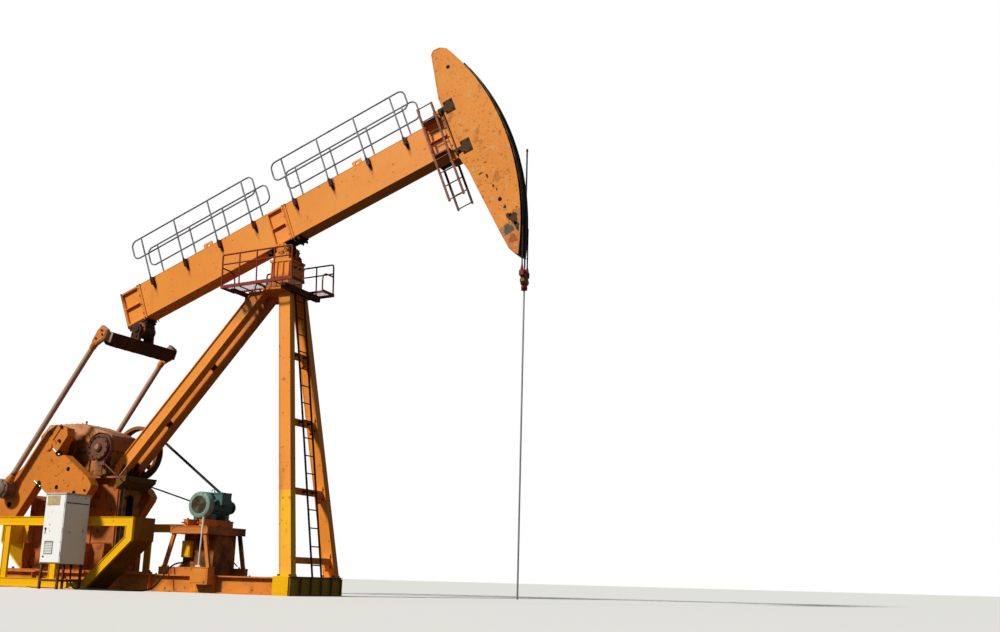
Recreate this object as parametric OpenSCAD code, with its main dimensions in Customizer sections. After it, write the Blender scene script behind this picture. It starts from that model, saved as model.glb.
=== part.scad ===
// Beam pumping unit, in millimetres.
// X points to the horsehead, Y away from the near side, Z up. The origin is on the floor below the saddle axis.
// It is drawn with the head almost at the top of its stroke.

/* [Walking beam] */
// Height of the saddle axis above the floor
pivot_z = 6880; // [6800:10:6960]
// Slope of the beam, head up
tilt = 21.7; // [20:0.1:22]
// Depth of the beam
beam_d = 790; // [700:10:820]
// Width of the beam flanges
beam_w = 350; // [300:10:360]
// Height of the beam's underside above the saddle axis
beam_lift = 137; // [130:1:150]
// Distance from the saddle axis to the tail end
beam_tail = 4090; // [4080:10:4200]

/* [Horsehead] */
// Radius of the arc about the saddle axis
arc_r = 5256; // [5200:1:5300]
// Width of the horsehead
head_w = 380; // [360:10:400]

/* [Drive] */
// Distance from the saddle axis to the tail bearing along the beam
tail_arm = 3850; // [3800:10:3860]
// Crankshaft axis, distance behind the saddle axis
crank_x = -4950; // [-4980:10:-4930]
// Crankshaft axis, height above the floor
crank_z = 2850; // [2840:10:2900]
// Crankshaft axis to crank pin
crank_r = 1300; // [1200:10:1320]
// Direction of the crank pin from the crankshaft, from level
crank_a = 222.5; // [220:0.5:225]
// Direction of the crank arm, from the vertical
arm_a = 35.2; // [34:0.1:36]
// Distance from the centre plane to each pitman
pitman_y = 1060; // [1055:1:1075]
// Outer diameter of a pitman tube
pitman_d = 114; // [100:1:120]
// Inner face of a crank
crank_in = 700; // [700:5:720]
// Outer face of a crank
crank_out = 920; // [900:5:925]

/* [Post] */
// Height of the post head's underside
post_z = 6000; // [5950:10:6010]
// Section of a front leg along X
leg_w = 260; // [220:10:270]
// Section of a front leg along Y
leg_t = 150; // [140:5:160]
// Width across a brace leg, seen from the side
brace_w = 250; // [220:10:260]
// Forward position of the front legs' feet
foot_x = 1010; // [990:10:1030]
// Spread of the front legs' feet
foot_y = 765; // [740:5:780]
// Slope of the walkways, front end up
platform_a = 2.5; // [0:0.1:2.6]

/* [Base] */
// Height of the skid beams
skid_h = 330; // [300:10:340]
// Top of the reducer stand
stand_z = 2270; // [2250:10:2280]

/* [Hanger] */
// Diameter of a rope
rope_d = 28; // [24:1:30]
// Diameter of the polished rod
rod_d = 32; // [28:1:34]

/* [Hidden] */
$fn = 32;
run = 0.05;
beam_top = beam_lift + beam_d;
beam_head = arc_r - 1056;
hang_x = arc_r + rope_d / 2 + 11;
hanger_z = pivot_z - 1140;
tail_t = -40;
tail_x = -tail_arm * cos(tilt) - tail_t * sin(tilt);
tail_z = pivot_z - tail_arm * sin(tilt) + tail_t * cos(tilt);
pin_x = crank_x + crank_r * cos(crank_a);
pin_z = crank_z + crank_r * sin(crank_a);
pitman_l = norm([pin_x - tail_x, pin_z - tail_z]);
pitman_a = atan2(tail_x - pin_x, tail_z - pin_z);
input_x = -3895;
input_z = 2850;
motor_x = -1440;
motor_z = 1690;
sheave_r = 575;
pulley_r = 120;
belt_y0 = 520;
belt_y1 = 660;
orange = [0.85, 0.45, 0.13];
maroon = [0.35, 0.12, 0.09];
dark = [0.2, 0.17, 0.14];
yellow = [0.95, 0.75, 0.05];
grey = [0.6, 0.62, 0.62];

// Extrudes an X-Z outline between two distances along Y.
module across(y0, y1) translate([0, y1, 0]) rotate([90, 0, 0]) linear_extrude(y1 - y0) children();

// A block between two corners.
module block(a, b) translate(a) cube(b - a);

// Turns a child that stands on Z so that it runs from a to b.
module along(a, b) {
  v = b - a;
  turn = atan2(v.y, v.x);
  translate(a) rotate([0, acos(v.z / norm(v)), turn]) rotate([0, 0, -turn]) children();
}
module pipe(a, b, d) along(a, b) cylinder(h = norm(b - a), d = d);

// A cylinder along Y.
module disc(x, z, y0, y1, r) translate([x, y1, z]) rotate([90, 0, 0]) cylinder(h = y1 - y0, r = r, $fn = 64);

// A steel section of I shape along Z, w wide in X and t deep in Y.
module i_section(w, t, h, f = 16) {
  translate([-w / 2, -t / 2, 0]) cube([f, t, h]);
  translate([w / 2 - f, -t / 2, 0]) cube([f, t, h]);
  translate([f - w / 2, -f / 2, 0]) cube([w - 2 * f, f, h]);
}

module on_beam() translate([0, 0, pivot_z]) rotate([0, -tilt, 0]) children();
module on_yoke() translate([tail_x, 0, tail_z]) rotate([0, pitman_a, 0]) children();
module on_crank() translate([crank_x, 0, crank_z]) rotate([0, arm_a, 0]) children();

// Base
skid_x0 = crank_x - 1250;
skid_x1 = foot_x - 210;
module skid_frame() color(orange) {
  for (s = [-1, 1]) translate([0, s * 650, 0]) {
    block([skid_x0, -100, 0], [skid_x1, 100, 24]);
    block([skid_x0, -100, skid_h - 24], [skid_x1, 100, skid_h]);
    block([skid_x0, -8, 24], [skid_x1, 8, skid_h - 24]);
  }
  for (x = [-6100, -4950, -3900, -3000, -2000, -1100, 0])
    block([x - 90, -642, x == 0 ? 0 : 24], [x + 90, 642, skid_h - 24]);
  block([-1050, -950, 160], [-650, -750, 475]);
  block([-1050, -760, 24], [-650, -642, skid_h - 24]);
}

module front_sill() color(orange) {
  block([skid_x1, -930, 0], [skid_x1 + 340, 930, 340]);
  for (y = [-900 : 360 : 900]) block([skid_x1 + 340, y - 12, 20], [skid_x1 + 380, y + 12, 320]);
}

// Samson post
// Centre line of a front leg at a height, on its own side
function leg_x(z) = foot_x + (185 - foot_x) * (z - 340) / (post_z - 340);
function leg_y(z) = foot_y + (232 - foot_y) * (z - 340) / (post_z - 340);

module front_leg(s) color(orange) {
  top = [leg_x(post_z + 300), s * leg_y(post_z + 300), post_z + 300];
  foot = [foot_x, s * foot_y, 340];
  intersection() {
    along(foot - (top - foot) * 0.1, top) translate([-leg_w / 2, -leg_t / 2, 0]) cube([leg_w, leg_t, 8000]);
    block([-500, -1200, 360], [1500, 1200, post_z - 40]);
  }
  block([foot_x - 160, s * foot_y - 120, 340], [foot_x + 130, s * foot_y + 120, 360]);
}

module leg_ties() color(orange) for (z = [650, 1950, 3300, 4650]) {
  y = leg_y(z + 60) - leg_t / 2 - 0.8;
  block([leg_x(z) - 60, -y, z - 60], [leg_x(z) + 60, y, z + 60]);
}

ladder_x = leg_w / 2 * 1.012 + 22;
module post_ladder() color(maroon) {
  a = [leg_x(345) + ladder_x, 0, 345];
  b = [leg_x(post_z - 100) + ladder_x, 0, post_z - 100];
  for (s = [-1, 1]) pipe(a + [0, s * 160, 0], b + [0, s * 160, 0], 40);
  for (k = [0.04 : 0.0625 : 0.98]) pipe(a + (b - a) * k - [0, 160, 0], a + (b - a) * k + [0, 160, 0], 24);
  for (z = [1950, 3300, 4650], y = [-175, 145])
    block([leg_x(z) + 60, y, z - 20], [leg_x(z) + ladder_x, y + 30, z + 20]);
}

// Centre line of a brace leg
brace_foot = [-3726, stand_z + 30];
brace_top = [-487, 5960];
brace_y = 195;
brace_dir = (brace_top - brace_foot) / norm(brace_top - brace_foot);
function brace_z(x) = brace_foot[1] + (x - brace_foot[0]) * brace_dir[1] / brace_dir[0];

module brace_leg(s) color(orange) {
  top = [brace_top[0], s * brace_y, brace_top[1]];
  foot = [brace_foot[0], s * brace_y, brace_foot[1]];
  intersection() {
    along(foot - (top - foot) * 0.1, top + (top - foot) * 0.1) i_section(brace_w, 200, 7000);
    block([-3715, -1000, stand_z], [55, 1000, post_z - 40]);
  }
}

module brace_ties() color(maroon) for (k = [0.07, 0.305, 0.62]) {
  p = brace_foot + (brace_top - brace_foot) * k;
  translate([p[0], 0, p[1]]) rotate([0, -atan2(brace_dir[1], brace_dir[0]), 0])
    block([-60, 8 - brace_y, -60], [60, brace_y - 8, 60]);
}

module post_head() color(orange) {
  block([-235, -490, post_z - 40], [leg_x(post_z) + leg_w / 2, 490, post_z]);
  block([-690, -300, post_z - 40], [-235, 300, post_z]);
  block([-230, -235, post_z], [240, 235, post_z + 600]);
  block([-260, -255, post_z + 600], [270, 255, post_z + 650]);
}

module saddle_bearings() color(orange) for (s = [-1, 1]) scale([1, s, 1]) difference() {
  union() {
    block([-190, 100, post_z + 650], [190, 245, post_z + 720]);
    block([-120, 105, post_z + 720], [120, 235, pivot_z]);
    disc(0, pivot_z, 105, 235, 125);
    disc(0, pivot_z, 235, 250, 70);
  }
  disc(0, pivot_z, 90, 240, 55 + run);
}

// Service walkways beside the post head, sloping a little
platform_z = post_z + 20;
module platform(s) color(maroon) translate([0, 0, platform_z]) rotate([0, -platform_a, 0]) scale([1, s, 1]) {
  block([-1025, 340, 0], [675, 795, 40]);
  for (x = [-1005, -590, -175, 240, 655]) pipe([x, 778, 40], [x, 778, 700], 34);
  for (z = [500, 700]) pipe([-1005, 778, z], [655, 778, z], 34);
  for (x = [-1005, 655]) {
    pipe([x, 778, 430], [x, 518, 430], 34);
    translate([x, 518, 270]) rotate([0, 90, 0]) rotate([0, 0, 180]) rotate_extrude(angle = 90)
      translate([160, 0]) circle(d = 34);
    pipe([x, 358, 270], [x, 358, 40], 34);
  }
}

// A cross-beam between two places along X, up to the walkways' underside
module cross_beam(x0, x1, y) across(-y, y) polygon([[x0, post_z - 80], [x1, post_z - 80],
  [x1, platform_z + x1 * tan(platform_a)], [x0, platform_z + x0 * tan(platform_a)]]);

module platform_supports() color(dark) {
  cross_beam(-850, -750, 700);
  h = brace_w / 2 / brace_dir[0];
  for (s = [-1, 1]) scale([1, s, 1]) across(brace_y - 25, brace_y + 25)
    polygon([[-830, post_z - 80], [-770, post_z - 80], [-770, brace_z(-770) + h], [-830, brace_z(-830) + h]]);
  x = leg_x(post_z - 80) + leg_w / 2 * 1.012 + 1;
  cross_beam(x, x + 100, 650);
}

// Drive
module reducer_stand() color(orange) {
  across(-330, 330) polygon([[-5850, skid_h + 40], [-5850, 1900], [-5450, 1700], [-5450, stand_z - 40],
    [-3490, stand_z - 40], [-3490, skid_h + 40]]);
  block([-6000, -620, skid_h], [-3250, 620, skid_h + 40]);
  block([-5850, -480, stand_z - 40], [-3240, 480, stand_z]);
  across(-470, 470) polygon([[-3490, stand_z - 40], [-3490, stand_z - 260], [-3250, stand_z - 90],
    [-3250, stand_z - 40]]);
  for (x = [-5700, -4900, -4100, -3560], s = [-1, 1])
    block([x - 12, min(s * 330, s * 560), skid_h + 40], [x + 12, max(s * 330, s * 560), 900]);
}

module gearbox() color(orange) difference() {
  union() {
    block([-5800, -430, stand_z], [-3850, 430, stand_z + 60]);
    across(-400, 400) polygon([[-5720, 2330], [-5720, 3150], [-5500, 3390], [-4600, 3390], [-4150, 3260],
      [-3780, 3130], [-3740, 2950], [-3760, 2330]]);
    block([-5760, -440, 2800], [-3720, 440, 2860]);
    for (s = [-1, 1]) scale([1, s, 1]) {
      disc(crank_x, crank_z, 380, 480, 300);
      disc(input_x, input_z, 380, 470, 170);
    }
  }
  disc(crank_x, crank_z, -500, 500, shaft_r + run);
  disc(input_x, input_z, -500, 500, 55 + run);
}

// Outline of the belt loop, grown by a distance
function belt_outline(grow) =
  let (v = [motor_x - input_x, motor_z - input_z], f = atan2(v.y, v.x),
    a = sheave_r - 15.5 + grow, b = pulley_r - 15.5 + grow, g = acos((a - b) / norm(v)))
  concat(
    [for (k = [0 : 60]) let (q = f + g + (360 - 2 * g) * k / 60) [input_x + a * cos(q), input_z + a * sin(q)]],
    [for (k = [0 : 20]) let (q = f - g + 2 * g * k / 20) [motor_x + b * cos(q), motor_z + b * sin(q)]]
  );

module drive_belts() color(dark) across(belt_y0, belt_y1) difference() {
  polygon(belt_outline(18));
  polygon(belt_outline(0));
}

module drive_sheave() color(dark) {
  disc(input_x, input_z, -640, 500, 55);
  difference() {
    union() {
      disc(input_x, input_z, 494, 512, sheave_r + 15);
      disc(input_x, input_z, 512, 668, sheave_r - 16);
      disc(input_x, input_z, 668, 690, sheave_r + 15);
    }
    disc(input_x, input_z, 600, 700, sheave_r - 60);
  }
  disc(input_x, input_z, 600, 660, 110);
}

module brake_drum() color(maroon) difference() {
  disc(input_x, input_z, -640, -500, 250);
  disc(input_x, input_z, -650, -540, 215);
  disc(input_x, input_z, -660, -490, 55 + run);
}

module motor() color([0.35, 0.55, 0.5]) difference() {
  union() {
    disc(motor_x, motor_z, -260, 400, 240);
    disc(motor_x, motor_z, -350, -260, 255);
    disc(motor_x, motor_z, 400, 440, 190);
    for (a = [30 : 30 : 330]) translate([motor_x, 0, motor_z]) rotate([0, a, 0])
      block([-8, -250, -265], [8, 390, -225]);
    block([motor_x - 230, -200, 1400], [motor_x + 230, -80, 1520]);
    block([motor_x - 230, 220, 1400], [motor_x + 230, 340, 1520]);
    block([motor_x + 170, -120, 1700], [motor_x + 370, 180, 1920]);
  }
  disc(motor_x, motor_z, 300, 500, 40 + run);
}

module motor_pulley() color(dark) {
  disc(motor_x, motor_z, 310, 500, 40);
  disc(motor_x, motor_z, 500, 512, pulley_r + 15);
  disc(motor_x, motor_z, 512, 668, pulley_r - 16);
  disc(motor_x, motor_z, 668, 684, pulley_r + 15);
}

module motor_stand() color(orange) {
  for (y = [-560, 560], p = [[-2010, -1800], [-920, -1080]]) intersection() {
    along([p[0], y, 400], [p[1], y, 1160]) translate([-35, -30, -200]) cube([70, 60, 1500]);
    block([-2400, -700, 470], [-500, 700, 1120]);
  }
  for (y = [-560, 560]) block([-2080, y - 60, skid_h], [-860, y + 60, 470]);
  block([-1880, -610, 1120], [-1000, 640, 1260]);
  for (x = [motor_x - 190, motor_x + 190]) block([x - 50, -480, 1260], [x + 50, 480, 1400]);
  block([-1830, -220, skid_h], [-1100, 480, 1120]);
  block([-1800, -320, 670], [-1600, -220, 980]);
}

// Guards beside the cranks
module guard(s) color(yellow) scale([1, s, 1]) {
  w = 60;
  across(1400 - w, 1400) difference() {
    polygon([[-7740, 950], [-7740, 1390], [-2150, 1390], [-2150, 950], [-3180, 20], [-6710, 20]]);
    polygon([[-7560, 1010], [-7560, 1215], [-2330, 1215], [-2330, 1010], [-3240, 190], [-6650, 190]]);
  }
  for (x = [-4060, -5330, -6700]) block([x - 80, 1340, 185], [x + 80, 1400, 1220]);
  across(760, 1345) polygon([[-2190, 1390], [-2150, 1390], [-2150, 950], [-3180, 20], [-3235, 20], [-2190, 966]]);
  across(760, 1345) polygon([[-7740, 1390], [-7700, 1390], [-7700, 966], [-6655, 20], [-6710, 20], [-7740, 950]]);
  for (x = [-3400, -4600, -5800]) block([x - 60, 750, 0], [x + 60, 1345, 120]);
  for (x = [-3400, -4600, -5800]) block([x - 60, 1335, 0], [x + 60, 1400, 40]);
}

module control_cabinet() {
  color([0.9, 0.9, 0.88]) {
    block([-3700, -2090, 470], [-3210, -1450, 1770]);
    block([-3720, -2110, 1770], [-3190, -1440, 1800]);
  }
  color(maroon) {
    for (x = [-3690, -3260], y = [-2080, -1500]) block([x, y, 0], [x + 40, y + 40, 470]);
    for (y = [-2080, -1500]) block([-3650, y, 140], [-3260, y + 40, 180]);
    for (x = [-3690, -3260]) block([x, -2040, 140], [x + 40, -1500, 180]);
  }
}

// Cable from the cabinet's underside to the motor stand, as rings of points swept along a path
cable_path = [
  [-3350, -1620, 470], [-3350, -1620, 300], [-3320, -1630, 140], [-3210, -1660, 40], [-2980, -1700, 17],
  [-2650, -1710, 17], [-2350, -1690, 17], [-2100, -1600, 17], [-1930, -1440, 17], [-1840, -1250, 22],
  [-1790, -1090, 75], [-1760, -960, 190], [-1740, -850, 330], [-1728, -740, 440], [-1716, -620, 515],
  [-1708, -500, 548], [-1703, -400, 560], [-1701, -330, 580], [-1700, -285, 615], [-1700, -270, 640],
  [-1700, -270, 670]
];
module motor_cable() color([0.08, 0.08, 0.08]) {
  n = len(cable_path);
  m = 8;
  pts = [for (i = [0 : n - 1]) let (
    v = cable_path[min(i + 1, n - 1)] - cable_path[max(i - 1, 0)],
    d = v / norm(v),
    u0 = cross(d, abs(d.z) > 0.8 ? [1, 0, 0] : [0, 0, 1]),
    u = u0 / norm(u0),
    w = cross(d, u)
  ) for (j = [0 : m - 1]) cable_path[i] + 16 * (u * cos(j * 360 / m) + w * sin(j * 360 / m))];
  polyhedron(pts, concat(
    [[for (j = [0 : m - 1]) j]],
    [[for (j = [m - 1 : -1 : 0]) (n - 1) * m + j]],
    [for (i = [0 : n - 2], j = [0 : m - 1])
      [i * m + j, (i + 1) * m + j, (i + 1) * m + (j + 1) % m, i * m + (j + 1) % m]]
  ));
}

// Cranks, drawn hanging along their own axis
shaft_r = 95;
module crankshaft() color(orange) {
  disc(crank_x, crank_z, -crank_out - 15, crank_out + 15, shaft_r);
  for (s = [-1, 1]) scale([1, s, 1]) disc(crank_x, crank_z, crank_in - 110, crank_in, 230);
}

module crank_arm(s) color(orange) on_crank() scale([1, s, 1]) difference() {
  px = (pin_x - crank_x) * cos(arm_a) - (pin_z - crank_z) * sin(arm_a);
  pz = (pin_x - crank_x) * sin(arm_a) + (pin_z - crank_z) * cos(arm_a);
  union() {
    across(crank_in, crank_out) {
      polygon([[-290, 120], [-150, 450], [130, 560], [250, 450], [250, -1780], [180, -1850], [-230, -1850],
        [-290, -1790]]);
      translate([px, pz]) circle(190);
      polygon([[-290, -700], [px - 150, pz + 130], [px - 150, pz - 130], [-290, -1700]]);
    }
  }
  disc(0, 0, 500, 1000, shaft_r + run);
  block([-18, 600, 130], [18, 1000, 600]);
  disc(px, pz, 600, 1000, 75);
  disc(-60, -1500, 600, 1000, 60);
}

module weight(s, reach) color(orange) on_crank() scale([1, s, 1]) difference() {
  across(crank_in, crank_out) polygon([[250.3, -20], [330, -20], [470, 110], [reach - 200, 115], [reach - 30, 60],
    [reach, -40], [reach, -620], [reach - 140, -750], [400, -750], [330, -660], [250.3, -660]]);
  for (p = [[745, -50], [745, -502], [1200, -320]]) disc(p[0], p[1], 600, 1000, 45);
}

// Walking beam and what is bolted to it
module walking_beam() color(orange) on_beam() difference() {
  union() {
    block([-beam_tail, -beam_w / 2, beam_lift], [beam_head, beam_w / 2, beam_top]);
    for (x = [-1780, 2060]) translate([x, -15, beam_top]) difference() {
      block([-110, 0, 0], [110, 30, 190]);
      translate([0, 40, 110]) rotate([90, 0, 0]) cylinder(h = 60, r = 40);
    }
  }
  for (s = [-1, 1], p = [[40 - beam_tail, 440 - beam_tail], [-130, 200], [beam_head - 460, beam_head - 40]])
    for (z = [beam_lift + 35, beam_lift + beam_d / 2 + 8])
      scale([1, s, 1]) block([p[0], 25, z], [p[1], 200, z + beam_d / 2 - 43]);
}

module saddle_shaft() color(dark) on_beam() {
  disc(0, 0, -238, 238, 55);
  block([-400, -95, beam_lift - 40], [430, 95, beam_lift]);
  block([-150, -95, 0], [150, 95, beam_lift - 40]);
  disc(0, 0, -95, 95, 120);
}

// A pipe loop with rounded corners, on posts
module rail_loop(x0, x1, posts) {
  d = 34;
  r = 130;
  z0 = 1450;
  z1 = 1880;
  for (z = [z0, z1]) pipe([x0 + r, 265, z], [x1 - r, 265, z], d);
  for (x = [x0, x1]) pipe([x, 265, z0 + r], [x, 265, z1 - r], d);
  for (p = [[x1 - r, z1 - r, 0], [x0 + r, z1 - r, 90], [x0 + r, z0 + r, 180], [x1 - r, z0 + r, 270]])
    translate([p[0], 265, p[1]]) rotate([90, 0, 0]) rotate([0, 0, p[2]]) rotate_extrude(angle = 90)
      translate([r, 0]) circle(d = d);
  for (x = posts) {
    pipe([x, 265, 720], [x, 265, z1], d);
    block([x - 30, beam_w / 2, 740], [x + 30, 262, 900]);
  }
}

module handrails(s) color(grey) on_beam() scale([1, s, 1]) {
  rail_loop(-3460, -200, [-3190, -2290, -1380, -480]);
  rail_loop(290, beam_head - 600, [570, 1460, 2380, beam_head - 930]);
}

module head_ladders() color(maroon) on_beam() for (s = [-1, 1]) scale([1, s, 1]) {
  x0 = beam_head - (s < 0 ? 425 : 540);
  z0 = s < 0 ? -900 : -810;
  for (x = [x0, x0 + 320]) block([x - 20, 330, z0], [x + 20, 370, 1240]);
  for (z = [z0 + 30 : 300 : 1230]) translate([x0 + 20, 350, z]) rotate([0, 90, 0]) cylinder(h = 280, d = 24);
  for (z = [beam_lift + 17, beam_top - 17]) block([x0 - 20, beam_w / 2, z - 14], [x0 + 340, 330, z + 14]);
}

module horsehead() color(orange) on_beam() {
  w = head_w / 2;
  b = beam_head;
  difference() {
    across(-w, w) intersection() {
      circle(arc_r, $fn = 256);
      polygon([[b + 30, 137], [b + 30, 930], [b + 15, 1300], [b + 190, 2310], [b + 260, 2390], [b + 410, 2370],
        [b + 700, 2150], [arc_r + 144, 1500], [arc_r + 244, 0], [arc_r + 144, -1600], [b + 700, -2560],
        [b + 460, -2480], [b + 370, -2410], [b + 310, -2270], [b + 260, -1870], [b + 150, -970], [b + 100, -470],
        [b + 5, -80], [b + 30, 0]]);
    }
    disc(b + 430, 1870, -300, 300, 40);
    disc(b + 480, -1280, -300, 300, 40);
  }
  for (y = [-150, 90]) {
    block([b - 220, y, beam_top], [b + 130, y + 60, 1130]);
    block([b - 210, y, -40], [b + 120, y + 60, beam_lift]);
  }
}

module arc_ropes() color(dark) on_beam() {
  r = arc_r + rope_d / 2 + 0.5;
  for (y = [-130, 130]) translate([0, y, 0]) rotate([90, 0, 0]) rotate([0, 0, -tilt])
    rotate_extrude(angle = tilt + 20, $fn = 256) translate([r, 0]) circle(d = rope_d, $fn = 16);
}

module tail_bearing() color(dark) on_beam() difference() {
  union() {
    block([-tail_arm - 260, -170, beam_lift - 40], [-tail_arm + 260, 170, beam_lift]);
    block([-tail_arm - 190, -150, tail_t], [-tail_arm + 190, 150, beam_lift - 40]);
    disc(-tail_arm, tail_t, -150, 150, 170);
  }
  disc(-tail_arm, tail_t, -200, 200, 70 + run);
}

module equalizer() color(maroon) on_yoke() {
  disc(0, 0, -240, 240, 70);
  for (s = [-1, 1]) scale([1, s, 1]) {
    disc(0, 0, 165, 240, 120);
    across(165, 240) polygon([[-110, 0], [110, 0], [260, -220], [0, -260]]);
  }
  translate([143 - 130 * cos(17), 0, -332 - 130 * sin(17)]) rotate([0, -17, 0]) rotate([90, 0, 90])
    linear_extrude(260) polygon([[-1000, 140], [1000, 140], [1000, -40], [860, -140], [-860, -140], [-1000, -40]]);
}

module pitman(s) color(orange) on_yoke() scale([1, s, 1]) {
  translate([143, 0, -332]) rotate([0, -17, 0]) block([-130, 1000, -60], [130, 1025, 150]);
  across(1025, 1110) polygon([[-60, -150], [120, -150], [180, -330], [70, -560], [-70, -560], [-90, -300]]);
  pipe([0, pitman_y, -560], [0, pitman_y, -pitman_l + 180], pitman_d);
  disc(0, -pitman_l, crank_out + 30, 1170, 200);
  disc(0, -pitman_l, 1170, 1200, 140);
  disc(0, -pitman_l, crank_out + 5, crank_out + 30, 90);
}

// Hanger
module carrier_bar() color(maroon) translate([hang_x, 0, hanger_z]) difference() {
  union() {
    block([-55, -165, 20], [55, 165, 270]);
    for (y = [-130, 130]) translate([0, y, 270]) cylinder(h = 60, d = 66);
    translate([0, 0, -100]) cylinder(h = 120, d = 120);
    translate([0, 0, 270]) cylinder(h = 40, d = 80);
  }
  translate([0, 0, -150]) cylinder(h = 500, d = rod_d + 0.2);
}

module hanging_rope() color(dark) for (y = [-130, 130])
  translate([hang_x, y, hanger_z + 330]) cylinder(h = pivot_z - hanger_z - 330, d = rope_d);

module polished_rod() color(grey) translate([hang_x, 0, 60]) cylinder(h = pivot_z + 1500, d = rod_d);

skid_frame();
front_sill();
front_leg(-1);  // front_leg_near
front_leg(1);  // front_leg_far
leg_ties();
post_ladder();
brace_leg(-1);  // brace_leg_near
brace_leg(1);  // brace_leg_far
brace_ties();
post_head();
saddle_bearings();
platform(-1);  // platform_near
platform(1);  // platform_far
platform_supports();
reducer_stand();
gearbox();
drive_belts();
motor();
motor_stand();
guard(-1);  // guard_near
guard(1);  // guard_far
control_cabinet();
motor_cable();
drive_sheave();
brake_drum();
motor_pulley();
crankshaft();
crank_arm(-1);  // crank_near
crank_arm(1);  // crank_far
weight(-1, 1490);  // weight_near
weight(1, 1700);  // weight_far
walking_beam();
saddle_shaft();
handrails(-1);  // handrails_near
handrails(1);  // handrails_far
head_ladders();
horsehead();
arc_ropes();
tail_bearing();
equalizer();
pitman(-1);  // pitman_near
pitman(1);  // pitman_far
carrier_bar();
hanging_rope();
polished_rod();
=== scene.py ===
import bpy
import bmesh
import numpy as np
from mathutils import Matrix, Vector


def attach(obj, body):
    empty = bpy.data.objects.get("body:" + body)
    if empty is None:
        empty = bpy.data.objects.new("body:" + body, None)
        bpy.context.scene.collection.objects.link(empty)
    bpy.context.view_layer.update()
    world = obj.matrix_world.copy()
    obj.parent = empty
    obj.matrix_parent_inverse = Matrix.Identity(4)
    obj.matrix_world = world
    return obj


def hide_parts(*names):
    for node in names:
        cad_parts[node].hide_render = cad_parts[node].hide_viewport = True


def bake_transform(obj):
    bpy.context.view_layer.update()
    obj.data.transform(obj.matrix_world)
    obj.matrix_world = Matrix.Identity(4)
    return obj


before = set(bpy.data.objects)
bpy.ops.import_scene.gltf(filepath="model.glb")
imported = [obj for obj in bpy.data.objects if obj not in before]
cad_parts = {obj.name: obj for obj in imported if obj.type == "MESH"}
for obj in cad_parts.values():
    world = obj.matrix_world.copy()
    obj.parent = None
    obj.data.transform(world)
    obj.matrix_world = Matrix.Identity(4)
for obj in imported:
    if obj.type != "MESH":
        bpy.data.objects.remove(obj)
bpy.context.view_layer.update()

# Camera and light
# A pale studio floor under an even white surround, with one large warm lamp from the near side and behind,
# and the camera low in front of the head end, 23.6 degrees round from a plain side view.
azimuth, pitch, roll = np.radians([23.608, 13.05, 1.536])
ahead = np.array([-np.sin(azimuth) * np.cos(pitch), np.cos(azimuth) * np.cos(pitch), np.sin(pitch)])
right = np.array([np.cos(azimuth), np.sin(azimuth), 0])
above = np.cross(right, ahead)
camera = bpy.data.objects.new("camera", bpy.data.cameras.new("camera"))
bpy.context.scene.collection.objects.link(camera)
turn = np.eye(4)
turn[:3, 0] = right * np.cos(roll) + above * np.sin(roll)
turn[:3, 1] = above * np.cos(roll) - right * np.sin(roll)
turn[:3, 2] = -ahead
turn[:3, 3] = [13.161, -19.118, 0.353]
camera.matrix_world = Matrix(turn.tolist())
camera.data.lens = 41.293
camera.data.sensor_width = 36
camera.data.clip_end = 500
bpy.context.scene.camera = camera
bpy.context.scene.view_settings.view_transform = "Standard"


def linear(code):
    """An sRGB hex colour as linear red, green, blue and alpha."""
    c = np.array([int(code[k:k + 2], 16) for k in (1, 3, 5)]) / 255
    return (*np.where(c > 0.04045, ((c + 0.055) / 1.055) ** 2.4, c / 12.92).tolist(), 1.0)


def add(tree, kind, settings=(), links=()):
    """Adds a node: a setting goes to its property or input, a link joins another output to an input."""
    node = tree.nodes.new("ShaderNode" + kind)
    for key, value in dict(settings).items():
        if isinstance(key, str) and hasattr(node, key):
            setattr(node, key, value)
        else:
            node.inputs[key].default_value = value
    for key, output in dict(links).items():
        tree.links.new(output, node.inputs[key])
    return node


world = bpy.data.worlds.new("studio")
bpy.context.scene.world = world
world.use_nodes = True
tree = world.node_tree
rays = add(tree, "LightPath")
level = add(tree, "MapRange", {"To Min": 0.21, "To Max": 1.0}, {"Value": rays.outputs["Is Camera Ray"]})
tint = add(tree, "Mix", {"data_type": "RGBA", 6: (0.74, 0.88, 1.0, 1.0), 7: (1, 1, 1, 1)},
           {0: rays.outputs["Is Camera Ray"]})
tree.links.new(level.outputs[0], tree.nodes["Background"].inputs["Strength"])
tree.links.new(tint.outputs[2], tree.nodes["Background"].inputs["Color"])
sun = bpy.data.objects.new("lamp", bpy.data.lights.new("lamp", "SUN"))
sun.data.energy = 3.6
sun.data.angle = 0.12
sun.data.color = (1.0, 0.97, 0.90)
sun.rotation_mode = "QUATERNION"
sun.rotation_quaternion = Vector((0.35, 0.75, -0.62)).to_track_quat("-Z", "Y")
bpy.context.scene.collection.objects.link(sun)

floor_mesh = bpy.data.meshes.new("floor")
floor_mesh.from_pydata([(-220, -120, 0), (220, -120, 0), (220, 320, 0), (-220, 320, 0)], [], [(0, 1, 2, 3)])
floor = bpy.data.objects.new("floor", floor_mesh)
bpy.context.scene.collection.objects.link(floor)
paper = bpy.data.materials.new("studio_paper")
paper.use_nodes = True
tree = paper.node_tree
rays = add(tree, "LightPath")
shade = add(tree, "Mix", {"data_type": "RGBA", 6: linear("#3c332a"), 7: linear("#f8f6f2")},
            {0: rays.outputs["Is Camera Ray"]})
tree.links.new(shade.outputs[2], tree.nodes["Principled BSDF"].inputs["Base Color"])
paper.node_tree.nodes["Principled BSDF"].inputs["Roughness"].default_value = 0.9
floor_mesh.materials.append(paper)


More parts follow.
